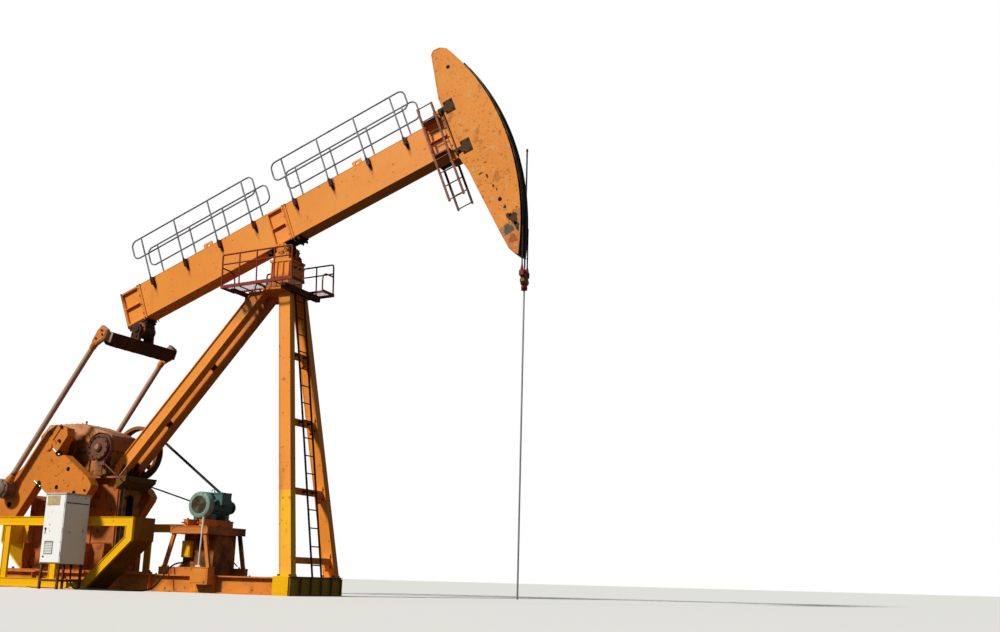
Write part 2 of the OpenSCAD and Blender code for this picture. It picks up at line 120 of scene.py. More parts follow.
# Motor cable
# A three-core power cable in a black rubber sheath, 32 mm across. It leaves the underside of the
# cabinet through a gland, lies on the ground and climbs the skid to the yellow box on the motor stand.
def finish(name, colour, layers, roughness=0.5, metallic=0.0, bump=0.0015, zones=(), ragged=0.0):
    """A coat of one colour with layers over it. A layer is (patches per metre, stretch along Z, detail, low,
    high, amount, colour): noise cut between low and high and laid on to that amount. A zone is (amount,
    softness, colour, limits): it holds where every limit's direction . place is over its value. The first
    layer's noise drives the bump."""
    material = bpy.data.materials.new(name)
    material.use_nodes = True
    tree = material.node_tree
    shader = tree.nodes["Principled BSDF"]
    place = add(tree, "TexCoord").outputs["Object"]
    rough = add(tree, "TexNoise", {"Scale": 7.0, "Detail": 6.0}, {"Vector": place})
    shifted = add(tree, "VectorMath", {"operation": "MULTIPLY_ADD", 1: (2 * ragged,) * 3,
                                       2: (-ragged,) * 3}, {0: rough.outputs["Color"]})
    shifted = add(tree, "VectorMath", {"operation": "ADD"}, {0: place, 1: shifted.outputs[0]}).outputs[0]
    skin = add(tree, "RGB")
    skin.outputs[0].default_value = linear(colour)
    skin = skin.outputs[0]
    for amount, softness, code, limits in zones:
        factor = None
        for direction, value in limits:
            reach = add(tree, "VectorMath", {"operation": "DOT_PRODUCT", 1: direction}, {0: shifted})
            step = add(tree, "MapRange", {"From Min": value, "From Max": value + softness,
                                          "To Max": amount}, {"Value": reach.outputs["Value"]}).outputs[0]
            factor = step if factor is None else add(
                tree, "Math", {"operation": "MINIMUM"}, {0: factor, 1: step}).outputs[0]
        skin = add(tree, "Mix", {"data_type": "RGBA", 7: linear(code)}, {0: factor, 6: skin}).outputs[2]
    first = None
    for k, (scale, stretch, detail, low, high, amount, code) in enumerate(layers):
        where = add(tree, "Mapping", {"Location": (3.1 * k, 1.7 * k, 0.9 * k),
                                      "Scale": (1, 1, 1 / stretch)}, {"Vector": place})
        noise = add(tree, "TexNoise", {"Scale": scale, "Detail": detail, "Roughness": 0.62},
                    {"Vector": where.outputs[0]})
        cut = add(tree, "MapRange", {"interpolation_type": "SMOOTHSTEP", "From Min": low, "From Max": high,
                                     "To Max": amount}, {"Value": noise.outputs["Fac"]})
        skin = add(tree, "Mix", {"data_type": "RGBA", 7: linear(code)},
                   {0: cut.outputs[0], 6: skin}).outputs[2]
        first = first or cut
    tree.links.new(skin, shader.inputs["Base Color"])
    worn = add(tree, "MapRange", {"To Min": roughness, "To Max": min(1, roughness + 0.3)},
               {"Value": first.outputs[0]})
    tree.links.new(worn.outputs[0], shader.inputs["Roughness"])
    dent = add(tree, "Bump", {"Strength": 0.5, "Distance": bump, "invert": True},
               {"Height": first.outputs[0]})
    tree.links.new(dent.outputs[0], shader.inputs["Normal"])
    shader.inputs["Metallic"].default_value = metallic
    shader.inputs["Specular IOR Level"].default_value = 0.2
    return material


def skin(rings, closed=False):
    """Surface through rings of points (m, n, 3): neighbouring points of neighbouring rings make quads. The
    last ring joins the first where closed, otherwise both end rings are capped."""
    m, n = rings.shape[:2]
    i, j = np.meshgrid(np.arange(m if closed else m - 1), np.arange(n), indexing="ij")
    a, b, k = i * n, ((i + 1) % m) * n, (j + 1) % n
    faces = np.stack([a + j, a + k, b + k, b + j], -1).reshape(-1, 4).tolist()
    if not closed:
        faces += [list(range(n))[::-1], list(range((m - 1) * n, m * n))]
    return rings.reshape(-1, 3), faces


def sweep(path, profile, up=(0, 0, 1), closed=False):
    """Carries a flat profile (n, 2) along a path (m, 3): point = path + across * u + upward * v, where
    across is square to the path's direction and to up."""
    path, profile = np.asarray(path, float), np.asarray(profile, float)
    if closed:
        ahead = np.roll(path, -1, 0) - np.roll(path, 1, 0)
    else:
        ahead = np.gradient(path, axis=0)
    ahead /= np.linalg.norm(ahead, axis=1, keepdims=True)
    across = np.cross(ahead, np.asarray(up, float))
    across /= np.linalg.norm(across, axis=1, keepdims=True)
    upward = np.cross(across, ahead)
    return skin(path[:, None] + across[:, None] * profile[None, :, :1]
                + upward[:, None] * profile[None, :, 1:], closed)


def tube(path, radius, sides=12, up=(0, 0, 1), closed=False):
    """A round profile carried along a path."""
    angle = np.arange(sides) * 2 * np.pi / sides
    return sweep(path, radius * np.stack([np.cos(angle), np.sin(angle)], 1), up, closed)


def smooth(points, steps=6):
    """Catmull-Rom curve: each stretch is the cubic whose end slopes are half the neighbours' difference."""
    p = np.asarray(points, float)
    p = np.vstack([2 * p[0] - p[1], p, 2 * p[-1] - p[-2]])
    t = (np.arange(steps) / steps)[None, :, None]
    a, b, c, d = (p[k:len(p) - 3 + k, None] for k in range(4))
    curve = (b + (c - a) * t / 2 + (a - 2.5 * b + 2 * c - d / 2) * t ** 2
             + (-a + 3 * b - 3 * c + d) * t ** 3 / 2)
    return np.vstack([curve.reshape(-1, 3), p[-2]])


def join(*shapes):
    """Stacks shapes, each a pair of points and faces, into one."""
    points, faces, count = [], [], 0
    for some, these in shapes:
        points.append(some)
        faces += [[k + count for k in face] for face in these]
        count += len(some)
    return np.vstack(points), faces


def piece(name, shape, material, body, soft=35):
    """Makes an object of a shape, faces outwards and smooth where they meet at less than soft degrees."""
    mesh = bpy.data.meshes.new(name)
    mesh.from_pydata(shape[0].tolist(), [], shape[1])
    edit = bmesh.new()
    edit.from_mesh(mesh)
    bmesh.ops.recalc_face_normals(edit, faces=edit.faces)
    edit.to_mesh(mesh)
    edit.free()
    mesh.polygons.foreach_set("use_smooth", np.ones(len(mesh.polygons), bool))
    mesh.set_sharp_from_angle(angle=np.radians(soft))
    mesh.materials.append(material)
    obj = bpy.data.objects.new(name, mesh)
    bpy.context.scene.collection.objects.link(obj)
    if body:
        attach(obj, body)
    return obj


cable_points = np.array([
    [-3350, -1620, 470], [-3350, -1620, 300], [-3320, -1630, 140], [-3210, -1660, 40], [-2980, -1700, 17],
    [-2650, -1710, 17], [-2350, -1690, 17], [-2100, -1600, 17], [-1930, -1440, 17], [-1840, -1250, 22],
    [-1790, -1090, 75], [-1760, -960, 190], [-1740, -850, 330], [-1728, -740, 440], [-1716, -620, 515],
    [-1708, -500, 548], [-1703, -400, 560], [-1701, -330, 580], [-1700, -285, 615], [-1700, -270, 640],
    [-1700, -270, 670]]) / 1000
cable_line = smooth(cable_points)
cable_line[:, 2] = np.maximum(cable_line[:, 2], 0.0165)
# Black rubber: dull, with pale dust in broad patches
cable_rubber = finish("black_rubber_sheath", "#1c1a18", [(5, 1, 4, 0.5, 0.75, 0.4, "#4a4238")], 0.6,
                      bump=0.0004)
motor_cable = piece("power_cable", tube(cable_line, 0.016, 14, up=(0.3, 0.1, 1)), cable_rubber, "frame")
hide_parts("motor_cable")


# Skid
# Two rolled I-beams with cross-beams welded between, brush-painted orange over rust and standing on the
# ground, with web stiffeners, a box for the brake gear on the near side and its white hand lever.
def plate(outline, low, high, rim=0.003, axes="xzy"):
    """A flat outline carried between two levels. Its rim is drawn in by the mitre of the two edges that
    meet at each corner, at both faces, which leaves a chamfer. axes names what the outline's two
    directions and the levels stand for."""
    outline = np.asarray(outline, float)
    edge = np.roll(outline, -1, 0) - outline
    area = (outline[:, 0] * np.roll(outline[:, 1], -1) - outline[:, 1] * np.roll(outline[:, 0], -1)).sum()
    normal = np.stack([edge[:, 1], -edge[:, 0]], 1) / np.linalg.norm(edge, axis=1)[:, None] * np.sign(area)
    before = np.roll(normal, 1, 0)
    mitre = (normal + before) / np.maximum(1 + (normal * before).sum(1, keepdims=True), 0.3)
    rings = []
    for level, inset in ((low, rim), (low + rim, 0), (high - rim, 0), (high, rim)):
        ring = np.empty((len(outline), 3))
        flat = outline - mitre * inset
        ring[:, "xyz".index(axes[0])], ring[:, "xyz".index(axes[1])] = flat[:, 0], flat[:, 1]
        ring[:, "xyz".index(axes[2])] = level
        rings.append(ring)
    return skin(np.stack(rings))


def block(low, high, rim=0.003):
    """A plate with a rectangular outline between two corners."""
    (x0, y0, z0), (x1, y1, z1) = low, high
    return plate([[x0, z0], [x1, z0], [x1, z1], [x0, z1]], y0, y1, rim)


def bolts(places, direction, width=0.036, height=0.022):
    """A hexagon head at each place: two six-sided rings and a smaller third, then a cap, 18 points each."""
    places = np.asarray(places, float).reshape(-1, 3)
    direction = np.asarray(direction, float) / np.linalg.norm(direction)
    side = np.cross(direction, [0.31, 0.87, 0.39])
    side /= np.linalg.norm(side)
    other = np.cross(direction, side)
    angle = np.arange(6) * np.pi / 3
    ring = (np.cos(angle)[:, None] * side + np.sin(angle)[:, None] * other) * width / 2
    head = np.stack([ring, ring + direction * height * 0.7, ring * 0.8 + direction * height])
    points, faces = skin(head)
    return join(*[(points + place, faces) for place in places])


def both(shape):
    """A shape and its mirror image across the centre plane."""
    points, faces = shape
    return join(shape, (points * [1, -1, 1], faces))


# Orange machine enamel: brushed on, chalky, with rust runs, chips and fine specks
orange_layers = [(15, 1, 8, 0.61, 0.66, 0.75, "#5a2e14"), (1.1, 1, 4, 0.35, 0.7, 0.55, "#f29c42"),
                 (3.5, 7, 5, 0.56, 0.78, 0.40, "#9a4f1c"), (60, 1, 3, 0.70, 0.74, 0.6, "#4a2a16")]
orange = finish("orange_enamel", "#e88a2c", orange_layers, 0.6)
# The same enamel low down and on machinery: browner, with oil and dust
orange_dirty = finish("orange_enamel_oily", "#dd8530", [
    (9, 1, 8, 0.58, 0.66, 0.8, "#4c2815"), (2.2, 1, 5, 0.45, 0.7, 0.6, "#a5622f"),
    (4, 6, 5, 0.52, 0.75, 0.5, "#6a3417"), (1.2, 1, 4, 0.45, 0.7, 0.35, "#ee9632")], 0.6)
white_paint = finish("white_enamel", "#dcd8d0", [(20, 1, 6, 0.62, 0.68, 0.7, "#8a6a52")], 0.45)
rusty_bolt = finish("rusted_bolt", "#3f2818", [(40, 1, 5, 0.5, 0.62, 0.7, "#74431f")], 0.7, 0.2, 0.0004)


def fasten(name, heads, body="frame"):
    """Bolt heads as one piece of rusted steel."""
    piece(name, heads, rusty_bolt, body)


def coat(material, *nodes):
    """Gives CAD nodes a material."""
    for name in nodes:
        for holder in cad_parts[name].material_slots:
            holder.material = material


coat(orange_dirty, "skid_frame")
web_plates = join(*[block([x - 0.006, 0.656, 0.026], [x + 0.006, 0.745, 0.304], 0.002)
                    for x in (-6.0, -5.2, -4.4, -3.6, -2.8, -2.2)])
piece("skid_stiffeners", both(web_plates), orange_dirty, "frame")
clip_bolts = [[x + d, 0.65 + e, 0.33] for x in (-6.1, -4.95, -3.9, -3.0, -2.0, 0.0) for d in (-0.05, 0.05)
              for e in (-0.06, 0.06)]
fasten("skid_bolts", both(bolts(clip_bolts, [0, 0, 1])))
box_lid = join(block([-1.065, -0.962, 0.465], [-0.635, -0.745, 0.481]),
               block([-1.02, -0.958, 0.19], [-0.68, -0.949, 0.44]))
piece("brake_box_lid", box_lid, orange_dirty, "frame")
lever_line = np.array([[-0.935, -0.87, 0.475], [-0.930, -0.87, 0.75], [-0.915, -0.87, 1.15],
                       [-0.905, -0.87, 1.42]])
lever = join(tube(smooth(lever_line), 0.016), tube(smooth(lever_line)[-8:] + [0.0, 0, 0.004], 0.021, 12),
             block([-0.99, -0.90, 0.48], [-0.88, -0.84, 0.515]))
piece("brake_lever", lever, white_paint, "frame")

# Front sill
# A ribbed box beam laid across the skid's front end under the post's feet, welded from plate and painted
# safety yellow, with the feet bolted down to it.
# Safety yellow enamel: glossy where new, with dust low down, chips and rust at the welds
yellow_layers = [(12, 1, 8, 0.64, 0.69, 0.7, "#6f4a1a"), (1.4, 1, 4, 0.45, 0.75, 0.35, "#fac93a"),
                 (4, 5, 5, 0.60, 0.80, 0.40, "#a8741a")]
yellow = finish("yellow_enamel", "#f6b800", yellow_layers, 0.42)
# The same yellow, with painted shade darkening its front face beyond x = 1.137
sill_yellow = finish("yellow_enamel_painted_shade_front", "#f6b800", yellow_layers, 0.42,
                     zones=[(0.85, 0.004, "#43351a", [((1, 0, 0), 1.137)])])
coat(sill_yellow, "front_sill")
sill = join(block([0.795, -0.925, 0.338], [1.178, 0.925, 0.352]),
            block([1.138, -0.925, 0.0], [1.176, 0.925, 0.018]),
            *[block([0.85, s * 0.938 - 0.005, 0.04], [1.08, s * 0.938 + 0.005, 0.30])
              for s in (-0.988, 0.988)])
piece("sill_plates", sill, sill_yellow, "frame")
foot_bolts = [[x, y, 0.36] for x in (0.872, 1.118) for y in (-0.862, -0.668, 0.668, 0.862)]
fasten("foot_bolts", bolts(foot_bolts, [0, 0, 1], 0.045, 0.03))

# Samson post legs
# Two box legs welded from plate, leaning in and back to the post head. The near one is safety yellow
# up to about two metres and orange above.
leg_foot, leg_head = np.array([1.010, 0.765, 0.34]), np.array([0.185, 0.232, 6.0])
two_tone = finish("orange_enamel_yellow_foot", "#f09030", orange_layers, 0.6, ragged=0.01,
                  zones=[(1.0, 0.01, "#f8bc04", [((0, 0, -1), -1.95)])])
coat(two_tone, "front_leg_near")
coat(orange, "front_leg_far", "leg_ties")


def flat(half_width, half_height):
    """A rectangle as a profile, from half its width and half its height."""
    return np.array([[-1, -1], [1, -1], [1, 1], [-1, 1]]) * [half_width, half_height]


def on_leg(k, across=0.0, out=0.0):
    """A point at height k on the far leg's centre line, moved across in X and out in Y."""
    return leg_foot + (leg_head - leg_foot) * (k - 0.34) / 5.66 + [across, out, 0]


lips = join(*[sweep([on_leg(0.37, x, 0.078 * s), on_leg(5.94, x, 0.078 * s)],
                    flat(0.009, 0.006), up=(0, 1, 0))
              for x in (-0.122, 0.122) for s in (-1, 1)])
near_lips, far_lips = (lips[0] * [1, -1, 1], lips[1]), lips
piece("near_leg_edges", near_lips, two_tone, "frame")
piece("far_leg_edges", far_lips, orange, "frame")
tie_levels = (0.65, 1.95, 3.3, 4.65)
gussets = join(*[block(on_leg(z, -0.07, -0.105) - [0, 0, 0.15], on_leg(z, 0.07, -0.078) + [0, 0, 0.15])
                 for z in tie_levels])
piece("tie_gussets", both(gussets), orange, "frame")
tie_bolts = [[on_leg(z)[0] + 0.07, on_leg(z)[1] - 0.09, z + d] for z in tie_levels for d in (-0.1, 0.1)]
fasten("tie_bolts", both(bolts(tie_bolts, [1, 0, 0], 0.03, 0.018)))

# Post ladder
# Round bar rungs welded between two pipes, on brackets off the ties, in faded dark red primer.
# Dark red primer: matt, bleached in patches, rust showing at the welds
maroon = finish("dark_red_primer", "#8f3028", [(18, 1, 6, 0.56, 0.66, 0.7, "#4b2115"),
                                               (2, 1, 4, 0.45, 0.7, 0.5, "#93382a"),
                                               (5, 5, 4, 0.6, 0.8, 0.4, "#5d3a26")], 0.6)
brown = finish("red_brown_primer", "#54251a", [
    (18, 1, 6, 0.56, 0.66, 0.7, "#33180f"), (2, 1, 4, 0.45, 0.7, 0.5, "#6d3323")], 0.65)
coat(brown, "post_ladder")
clips = join(*[block([on_leg(z)[0] + 0.058, s * 0.16 - 0.03, z - 0.03],
                     [on_leg(z)[0] + 0.066, s * 0.16 + 0.03, z + 0.03]) for z in tie_levels[1:]
               for s in (-1, 1)])
piece("ladder_clips", clips, brown, "frame")

# Rear brace legs
# Two rolled beams from the post head down to the reducer stand, boxed in with side plates between the
# flanges, on bolted foot plates.
brace_foot, brace_top = np.array([-3.726, 0, 2.30]), np.array([-0.487, 0, 5.96])
brace_run = (brace_top - brace_foot) / np.linalg.norm(brace_top - brace_foot)
brace_side = np.array([-brace_run[2], 0, brace_run[0]])
# Painted shade: the far brace (y over 0) is darker, and darker and browner again above 4.4 m; both braces
# turn browner above 5.35 m
brace_orange = finish("orange_enamel_brace", "#f09434", orange_layers, 0.6, ragged=0.06,
                      zones=[(0.45, 0.02, "#a8602c", [((0, 1, 0), 0.0)]),
                             (0.6, 0.35, "#8a5838", [((0, 1, 0), 0.0), ((0, 0, 1), 4.4)]),
                             (0.55, 0.25, "#a2683c", [((0, 0, 1), 5.35)])])
coat(brace_orange, "brace_leg_near", "brace_leg_far")
coat(brown, "brace_ties")


def on_brace(along, out=0.0, y=0.0):
    """A point on the brace's centre line, moved square to it in the X-Z plane and to a distance y."""
    return brace_foot + brace_run * along + brace_side * out + [0, y, 0]


slope = brace_run[0] / brace_run[2]
sides = []
for level in (2.275, 5.955):
    for out in (-0.109, 0.109):
        start = on_brace(0, out)
        sides.append([start[0] + (level - start[2]) * slope, level])
near_low, far_low, near_high, far_high = sides
cheeks = join(*[plate([near_low, far_low, far_high, near_high], y - 0.004, y + 0.004, 0.001)
                for y in (0.116, 0.262)])
piece("brace_side_plates", both(cheeks), brace_orange, "frame")
foot_plates = join(block([-3.71, 0.085, 2.272], [-3.38, 0.305, 2.294]),
                   *[plate([[-3.62, 2.294], [-3.40, 2.294], [-3.395, 2.40], [-3.43, 2.49], [-3.50, 2.545]],
                           y - 0.008, y + 0.008) for y in (0.11, 0.28)])
piece("brace_feet", both(foot_plates), brown, "frame")
foot_places = [[x, y, 2.294] for x in (-3.66, -3.41) for y in (0.14, 0.25)]
fasten("brace_bolts", both(bolts(foot_places, [0, 0, 1], 0.045, 0.03)))

# Post head
# A welded box between two flange plates, with stiffening ribs, bolted to the cap plate of the four legs.
coat(orange, "post_head")
ribs = join(*[block([x - 0.008, 0.233, 6.0], [x + 0.008, 0.262, 6.6], 0.002)
              for x in (-0.2, -0.07, 0.07, 0.215)],
            block([-0.225, 0.233, 6.28], [0.235, 0.250, 6.30], 0.002),
            *[plate([[-0.40, 6.001], [-0.232, 6.001], [-0.232, 6.25]], y, y + 0.014, 0.001)
              for y in (0.10, 0.20)])
piece("head_ribs", both(ribs), orange, "frame")
cap_places = [[x, y, 6.0] for x in (-0.2, 0.27) for y in (0.30, 0.45)] + [[x, y, 6.0]
                                                                          for x in (-0.64, -0.44)
                                                                          for y in (0.05, 0.25)]
piece("head_bolts", both(join(bolts(cap_places, [0, 0, 1], 0.045, 0.03),
                              bolts([[0.31, y, 5.98] for y in (0.1, 0.3, 0.44)], [1, 0, 0], 0.03, 0.02),
                              bolts([[0.24, y, z] for y in (0.08, 0.2) for z in (6.08, 6.5)], [1, 0, 0],
                                    0.04, 0.05))), rusty_bolt, "frame")


# Saddle bearings
# Cast pillow blocks with a bolted cap, a ribbed base and a domed end cover, painted with the post.
def turned(profile, centre, axis=(0, 1, 0), sides=32, closed=False):
    """A profile of (distance along the axis, radius) turned round an axis through centre."""
    axis = np.asarray(axis, float) / np.linalg.norm(axis)
    side = np.cross(axis, [0.0, 0.0, 1.0] if abs(axis[2]) < 0.9 else [1.0, 0.0, 0.0])
    side /= np.linalg.norm(side)
    other = np.cross(axis, side)
    angle = np.arange(sides) * 2 * np.pi / sides
    profile = np.asarray(profile, float)
    spoke = np.cos(angle)[:, None] * side + np.sin(angle)[:, None] * other
    rings = np.asarray(centre) + profile[:, None, :1] * axis + profile[:, None, 1:] * spoke
    return skin(rings, closed)


def circle(centre, radius, angle):
    """Points round a centre in the X-Z plane: centre + radius * (cos angle, 0, sin angle)."""
    return np.asarray(centre) + radius * np.stack([np.cos(angle), 0 * angle, np.sin(angle)], 1)


def ring_places(centre, radius, count, start=0.0):
    """Places evenly round a circle in the X-Z plane."""
    return circle(centre, radius, start + np.arange(count) * 2 * np.pi / count)


pivot = np.array([0, 0, 6.88])
coat(orange_dirty, "saddle_bearings")
cover = join(turned([[0.233, 0.118], [0.243, 0.118], [0.249, 0.108], [0.249, 0.085], [0.262, 0.078],
                     [0.268, 0.055], [0.270, 0.004]], pivot),
             block([-0.165, 0.12, 6.71], [-0.118, 0.225, 6.80]),
             block([0.118, 0.12, 6.71], [0.165, 0.225, 6.80]),
             block([-0.15, 0.115, 6.868], [0.15, 0.228, 6.892], 0.004))
piece("bearing_covers", both(cover), orange_dirty, "frame")
cover_bolts = join(bolts(ring_places(pivot + [0, 0.248, 0], 0.098, 6), [0, 1, 0], 0.024, 0.012),
                   bolts([[x, y, 6.72] for x in (-0.178, 0.178) for y in (0.14, 0.21)], [0, 0, 1], 0.04,
                         0.05), bolts([[x, 0.17, 6.892] for x in (-0.138, 0.138)], [0, 0, 1], 0.04, 0.045))
fasten("bearing_bolts", both(cover_bolts))

# Service platforms
# Expanded metal on an angle frame, with a bent-pipe handrail round three sides, in dark red primer.
# Worn deck: bare grey steel where boots have rubbed the primer off
grating_steel = finish("worn_grating", "#8c7a72", [(25, 1, 4, 0.48, 0.62, 0.8, "#6a3a2c")], 0.6, 0.3,
                       0.0004)


def bent(points, radius):
    """A line with its corners rounded: near each corner, points of the parabola that touches both sides."""
    p = np.asarray(points, float)
    t = (np.arange(7) / 6)[:, None]
    line = [p[:1]]
    for a, b, c in zip(p[:-2], p[1:-1], p[2:]):
        u = b + (a - b) / np.linalg.norm(a - b) * radius
        v = b + (c - b) / np.linalg.norm(c - b) * radius
        line.append((1 - t) ** 2 * u + 2 * t * (1 - t) * b + t ** 2 * v)
    return np.vstack(line + [p[-1:]])


def turn_to(shape, at, angle):
    """A shape turned about Y by an angle and moved to a place: x cos + z sin, z cos - x sin."""
    points, faces = shape
    c, s = np.cos(angle), np.sin(angle)
    return points @ np.array([[c, 0, -s], [0, 1, 0], [s, 0, c]]) + at, faces


rail_x, rail_y, deck = (-1.005, 0.655), 0.778, np.array([0, 0, 6.02])
angle_frame = join(*[block(a, b, 0.002) for a, b in (
    ([-1.027, 0.790, 0], [0.677, 0.797, 0.065]), ([-1.027, 0.338, 0], [0.677, 0.345, 0.042]),
    ([-1.027, 0.345, 0], [-1.019, 0.790, 0.065]), ([0.669, 0.345, 0], [0.677, 0.790, 0.065]),
    ([-1.019, 0.345, 0], [0.669, 0.375, 0.006]), ([-1.019, 0.760, 0], [0.669, 0.790, 0.006]),
    ([-0.61, 0.345, 0], [-0.57, 0.790, 0.01]), ([-0.195, 0.345, 0], [-0.155, 0.790, 0.01]),
    ([0.22, 0.345, 0], [0.26, 0.790, 0.01]))])
mesh_x = np.arange(-1.018, 0.67, 0.028)
bars = [sweep(np.stack([mesh_x, 0.359 + 0.026 * k + 0.0125 * (-1.0) ** (np.arange(len(mesh_x)) + k),
                        0 * mesh_x + 0.034], 1), flat(0.0015, 0.002)) for k in range(17)]
rails = [tube(bent([[rail_x[0], rail_y, 0.01], [rail_x[0], rail_y, 0.70], [rail_x[1], rail_y, 0.70],
                    [rail_x[1], rail_y, 0.01]], 0.05), 0.017, up=(0, 1, 0)),
         tube([[rail_x[0], rail_y, 0.50], [rail_x[1], rail_y, 0.50]], 0.015)]
rails += [tube([[x, rail_y, 0.01], [x, rail_y, 0.70]], 0.015, up=(0, 1, 0)) for x in (-0.59, -0.175, 0.24)]
rails += [tube(bent([[x, rail_y, 0.43], [x, 0.358, 0.43], [x, 0.358, 0.01]], 0.19), 0.016, up=(1, 0, 0))
          for x in rail_x]
for side, body_node in ((-1, "platform_near"), (1, "platform_far")):
    parts = join(angle_frame, *rails)
    parts = turn_to((parts[0] * [1, side, 1], parts[1]), deck, np.radians(-2.5))
    made = piece(body_node + "_rails", parts, maroon, "frame")
    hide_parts(body_node)
    parts = join(*bars)
    parts = turn_to((parts[0] * [1, side, 1], parts[1]), deck, np.radians(-2.5))
    piece(body_node + "_grating", parts, grating_steel, "frame")
coat(brown, "platform_supports")
hanger_bolts = [[0.429, y, z] for z in (5.94, 5.97) for y in (-0.6, -0.4, 0.4, 0.6)]
fasten("support_bolts", bolts(hanger_bolts, [1, 0, 0], 0.024, 0.014))

# Reducer stand
# A tall box of ribbed plate, welded to a base plate, that lifts the reducer so that the cranks clear
# the skid.
# Olive grime: oil thrown by the drive, with dust stuck to it; the front face beyond x = -3.50 is painted dark
# olive shade
stand_coat = finish("orange_enamel_grimed_front_painted_shade", "#b9692f", [
    (7, 1, 8, 0.55, 0.66, 0.7, "#3d2412"), (1.6, 1, 5, 0.42, 0.7, 0.6, "#8a5226"),
    (3, 7, 5, 0.5, 0.72, 0.5, "#5a3016")], 0.6, ragged=0.03,
    zones=[(0.88, 0.02, "#51461e", [((1, 0, 0), -3.50), ((0, 0, 1), 0.38)])])
coat(stand_coat, "reducer_stand")
front = [block([-3.492, s * 0.318 - 0.012, 0.38], [-3.470, s * 0.318 + 0.012, 2.0]) for s in (-1, 1)]
front += [block([-3.492, -0.33, z], [-3.474, 0.33, z + 0.03]) for z in (0.38, 1.20)]
sides = [block([x - 0.02, s * 0.345 - 0.015, 0.372], [x + 0.02, s * 0.345 + 0.015, top]) for s in (-1, 1)
         for x, top in ((-5.70, 1.75), (-5.35, 2.2), (-4.75, 2.2), (-4.15, 2.2), (-3.53, 2.2))]
sides += [block([-5.82, s * 0.338 - 0.008, z], [-3.50, s * 0.338 + 0.008, z + 0.02]) for s in (-1, 1)
          for z in (0.92, 1.62)]
piece("stand_ribs", join(*front, *sides), stand_coat, "frame")
# Painted shade: black plates and discs stand for the shade inside slots, holes and sockets
shade_black = finish("painted_shade_opening", "#120d09", [(20, 1, 3, 0.5, 0.6, 0.5, "#1d140d")], 0.9)
piece("stand_slot_painted_shade", plate([[-0.10, 1.30], [0.10, 1.30], [0.10, 1.86], [0.0, 1.93], [-0.10, 1.86]], -3.4915,
                           -3.4865, 0.001, "yzx"), shade_black, "frame")
drain = tube(bent([[-3.30, -0.24, 2.20], [-3.462, -0.24, 2.12], [-3.462, -0.24, 0.40]], 0.05), 0.012,
             up=(0, 1, 0))
piece("drain_pipe", drain, finish("galvanised_pipe", "#b9ad96", [(20, 1, 4, 0.5, 0.65, 0.6, "#7a5a3a")],
                                  0.5, 0.5, 0.0003), "frame")
base_bolts = [[x, s * 0.58, 0.37] for x in (-5.9, -5.2, -4.5, -3.8, -3.3) for s in (-1, 1)]
top_bolts = [[x, s * 0.452, 2.27] for x in (-5.75, -5.3, -4.8, -4.3, -3.95) for s in (-1, 1)]
fasten("stand_bolts", bolts(base_bolts + top_bolts, [0, 0, 1], 0.05, 0.035))

# Gear reducer
# A cast-iron case split on the shaft line, its halves bolted through a flange, with ribbed bearing seats,
# an inspection cover, a breather and oil-stained orange enamel. Painted shade darkens the lower case behind
# the crank, a painted highlight lightens the case above 3.14 m, and the front end below 3.16 m is darker
# olive.
gear_coat = finish("orange_enamel_oil_stained_painted_light", "#c87e46",
                   [(6, 1, 8, 0.54, 0.64, 0.85, "#4a2a17"), (2, 1, 5, 0.42, 0.68, 0.6, "#8d512b"),
                    (3, 5, 5, 0.5, 0.7, 0.6, "#2e1c10"), (2.5, 1, 5, 0.6, 0.75, 0.5, "#6b5a22")], 0.45,
                   ragged=0.05, zones=[(0.7, 0.1, "#20150d", [((-1, 0, 0), 4.4), ((0, 0, -1), -3.2)]),
                                       (0.75, 0.08, "#e6a878", [((0, 0, 1), 3.14)]),
                                       (0.7, 0.12, "#574a22", [((1, 0, 0), -4.2), ((0, 0, -1), -3.16)])])
coat(gear_coat, "gearbox")
crank_at, sheave_at = np.array([-4.95, 0, 2.85]), np.array([-3.895, 0, 2.85])
case = [plate([[x - 0.012, 2.335], [x + 0.012, 2.335], [x + 0.012, 2.80], [x - 0.012, 2.80]], 0.398, 0.432)
        for x in (-5.62, -5.38, -4.55, -4.3, -3.82)]
case += [turned([[0.478, 0.315], [0.492, 0.315], [0.50, 0.30], [0.50, 0.19], [0.507, 0.18], [0.507, 0.12]],
                crank_at, sides=48), turned([[0.466, 0.180], [0.474, 0.180], [0.478, 0.17], [0.478, 0.09]],
                                            sheave_at, sides=40),
         plate([[-4.62, 2.86], [-4.38, 2.86], [-4.32, 3.02], [-4.40, 3.14], [-4.60, 3.14], [-4.68, 3.02]],
               0.398, 0.425)]
piece("case_ribs", both(join(*case)), gear_coat, "frame")
lid = join(block([-5.40, -0.26, 3.388], [-4.72, 0.26, 3.412]),
           block([-5.30, -0.18, 3.41], [-4.82, 0.18, 3.428]),
           turned([[3.39, 0.018], [3.44, 0.018], [3.442, 0.024], [3.47, 0.022], [3.475, 0.010]],
                  [-4.69, -0.20, 0], (0, 0, 1), 20))
piece("case_lid", lid, gear_coat, "frame")
split = [[x, 0.425, 2.86] for x in np.arange(-5.66, -3.75, 0.19)
         if abs(x + 4.95) > 0.33 and abs(x + 3.895) > 0.19]
case_bolts = join(bolts(split, [0, 0, 1], 0.04, 0.04),
                  bolts(ring_places(crank_at + [0, 0.50, 0], 0.265, 12, 0.26), [0, 1, 0], 0.036, 0.02),
                  bolts(ring_places(sheave_at + [0, 0.477, 0], 0.15, 8, 0.39), [0, 1, 0], 0.028, 0.012))
fasten("case_bolts", both(case_bolts))
lid_bolts = [[x, y, 3.412] for x in np.arange(-5.36, -4.72, 0.15) for y in (-0.235, 0.235)]
fasten("lid_bolts", bolts(lid_bolts, [0, 0, 1], 0.028, 0.016))

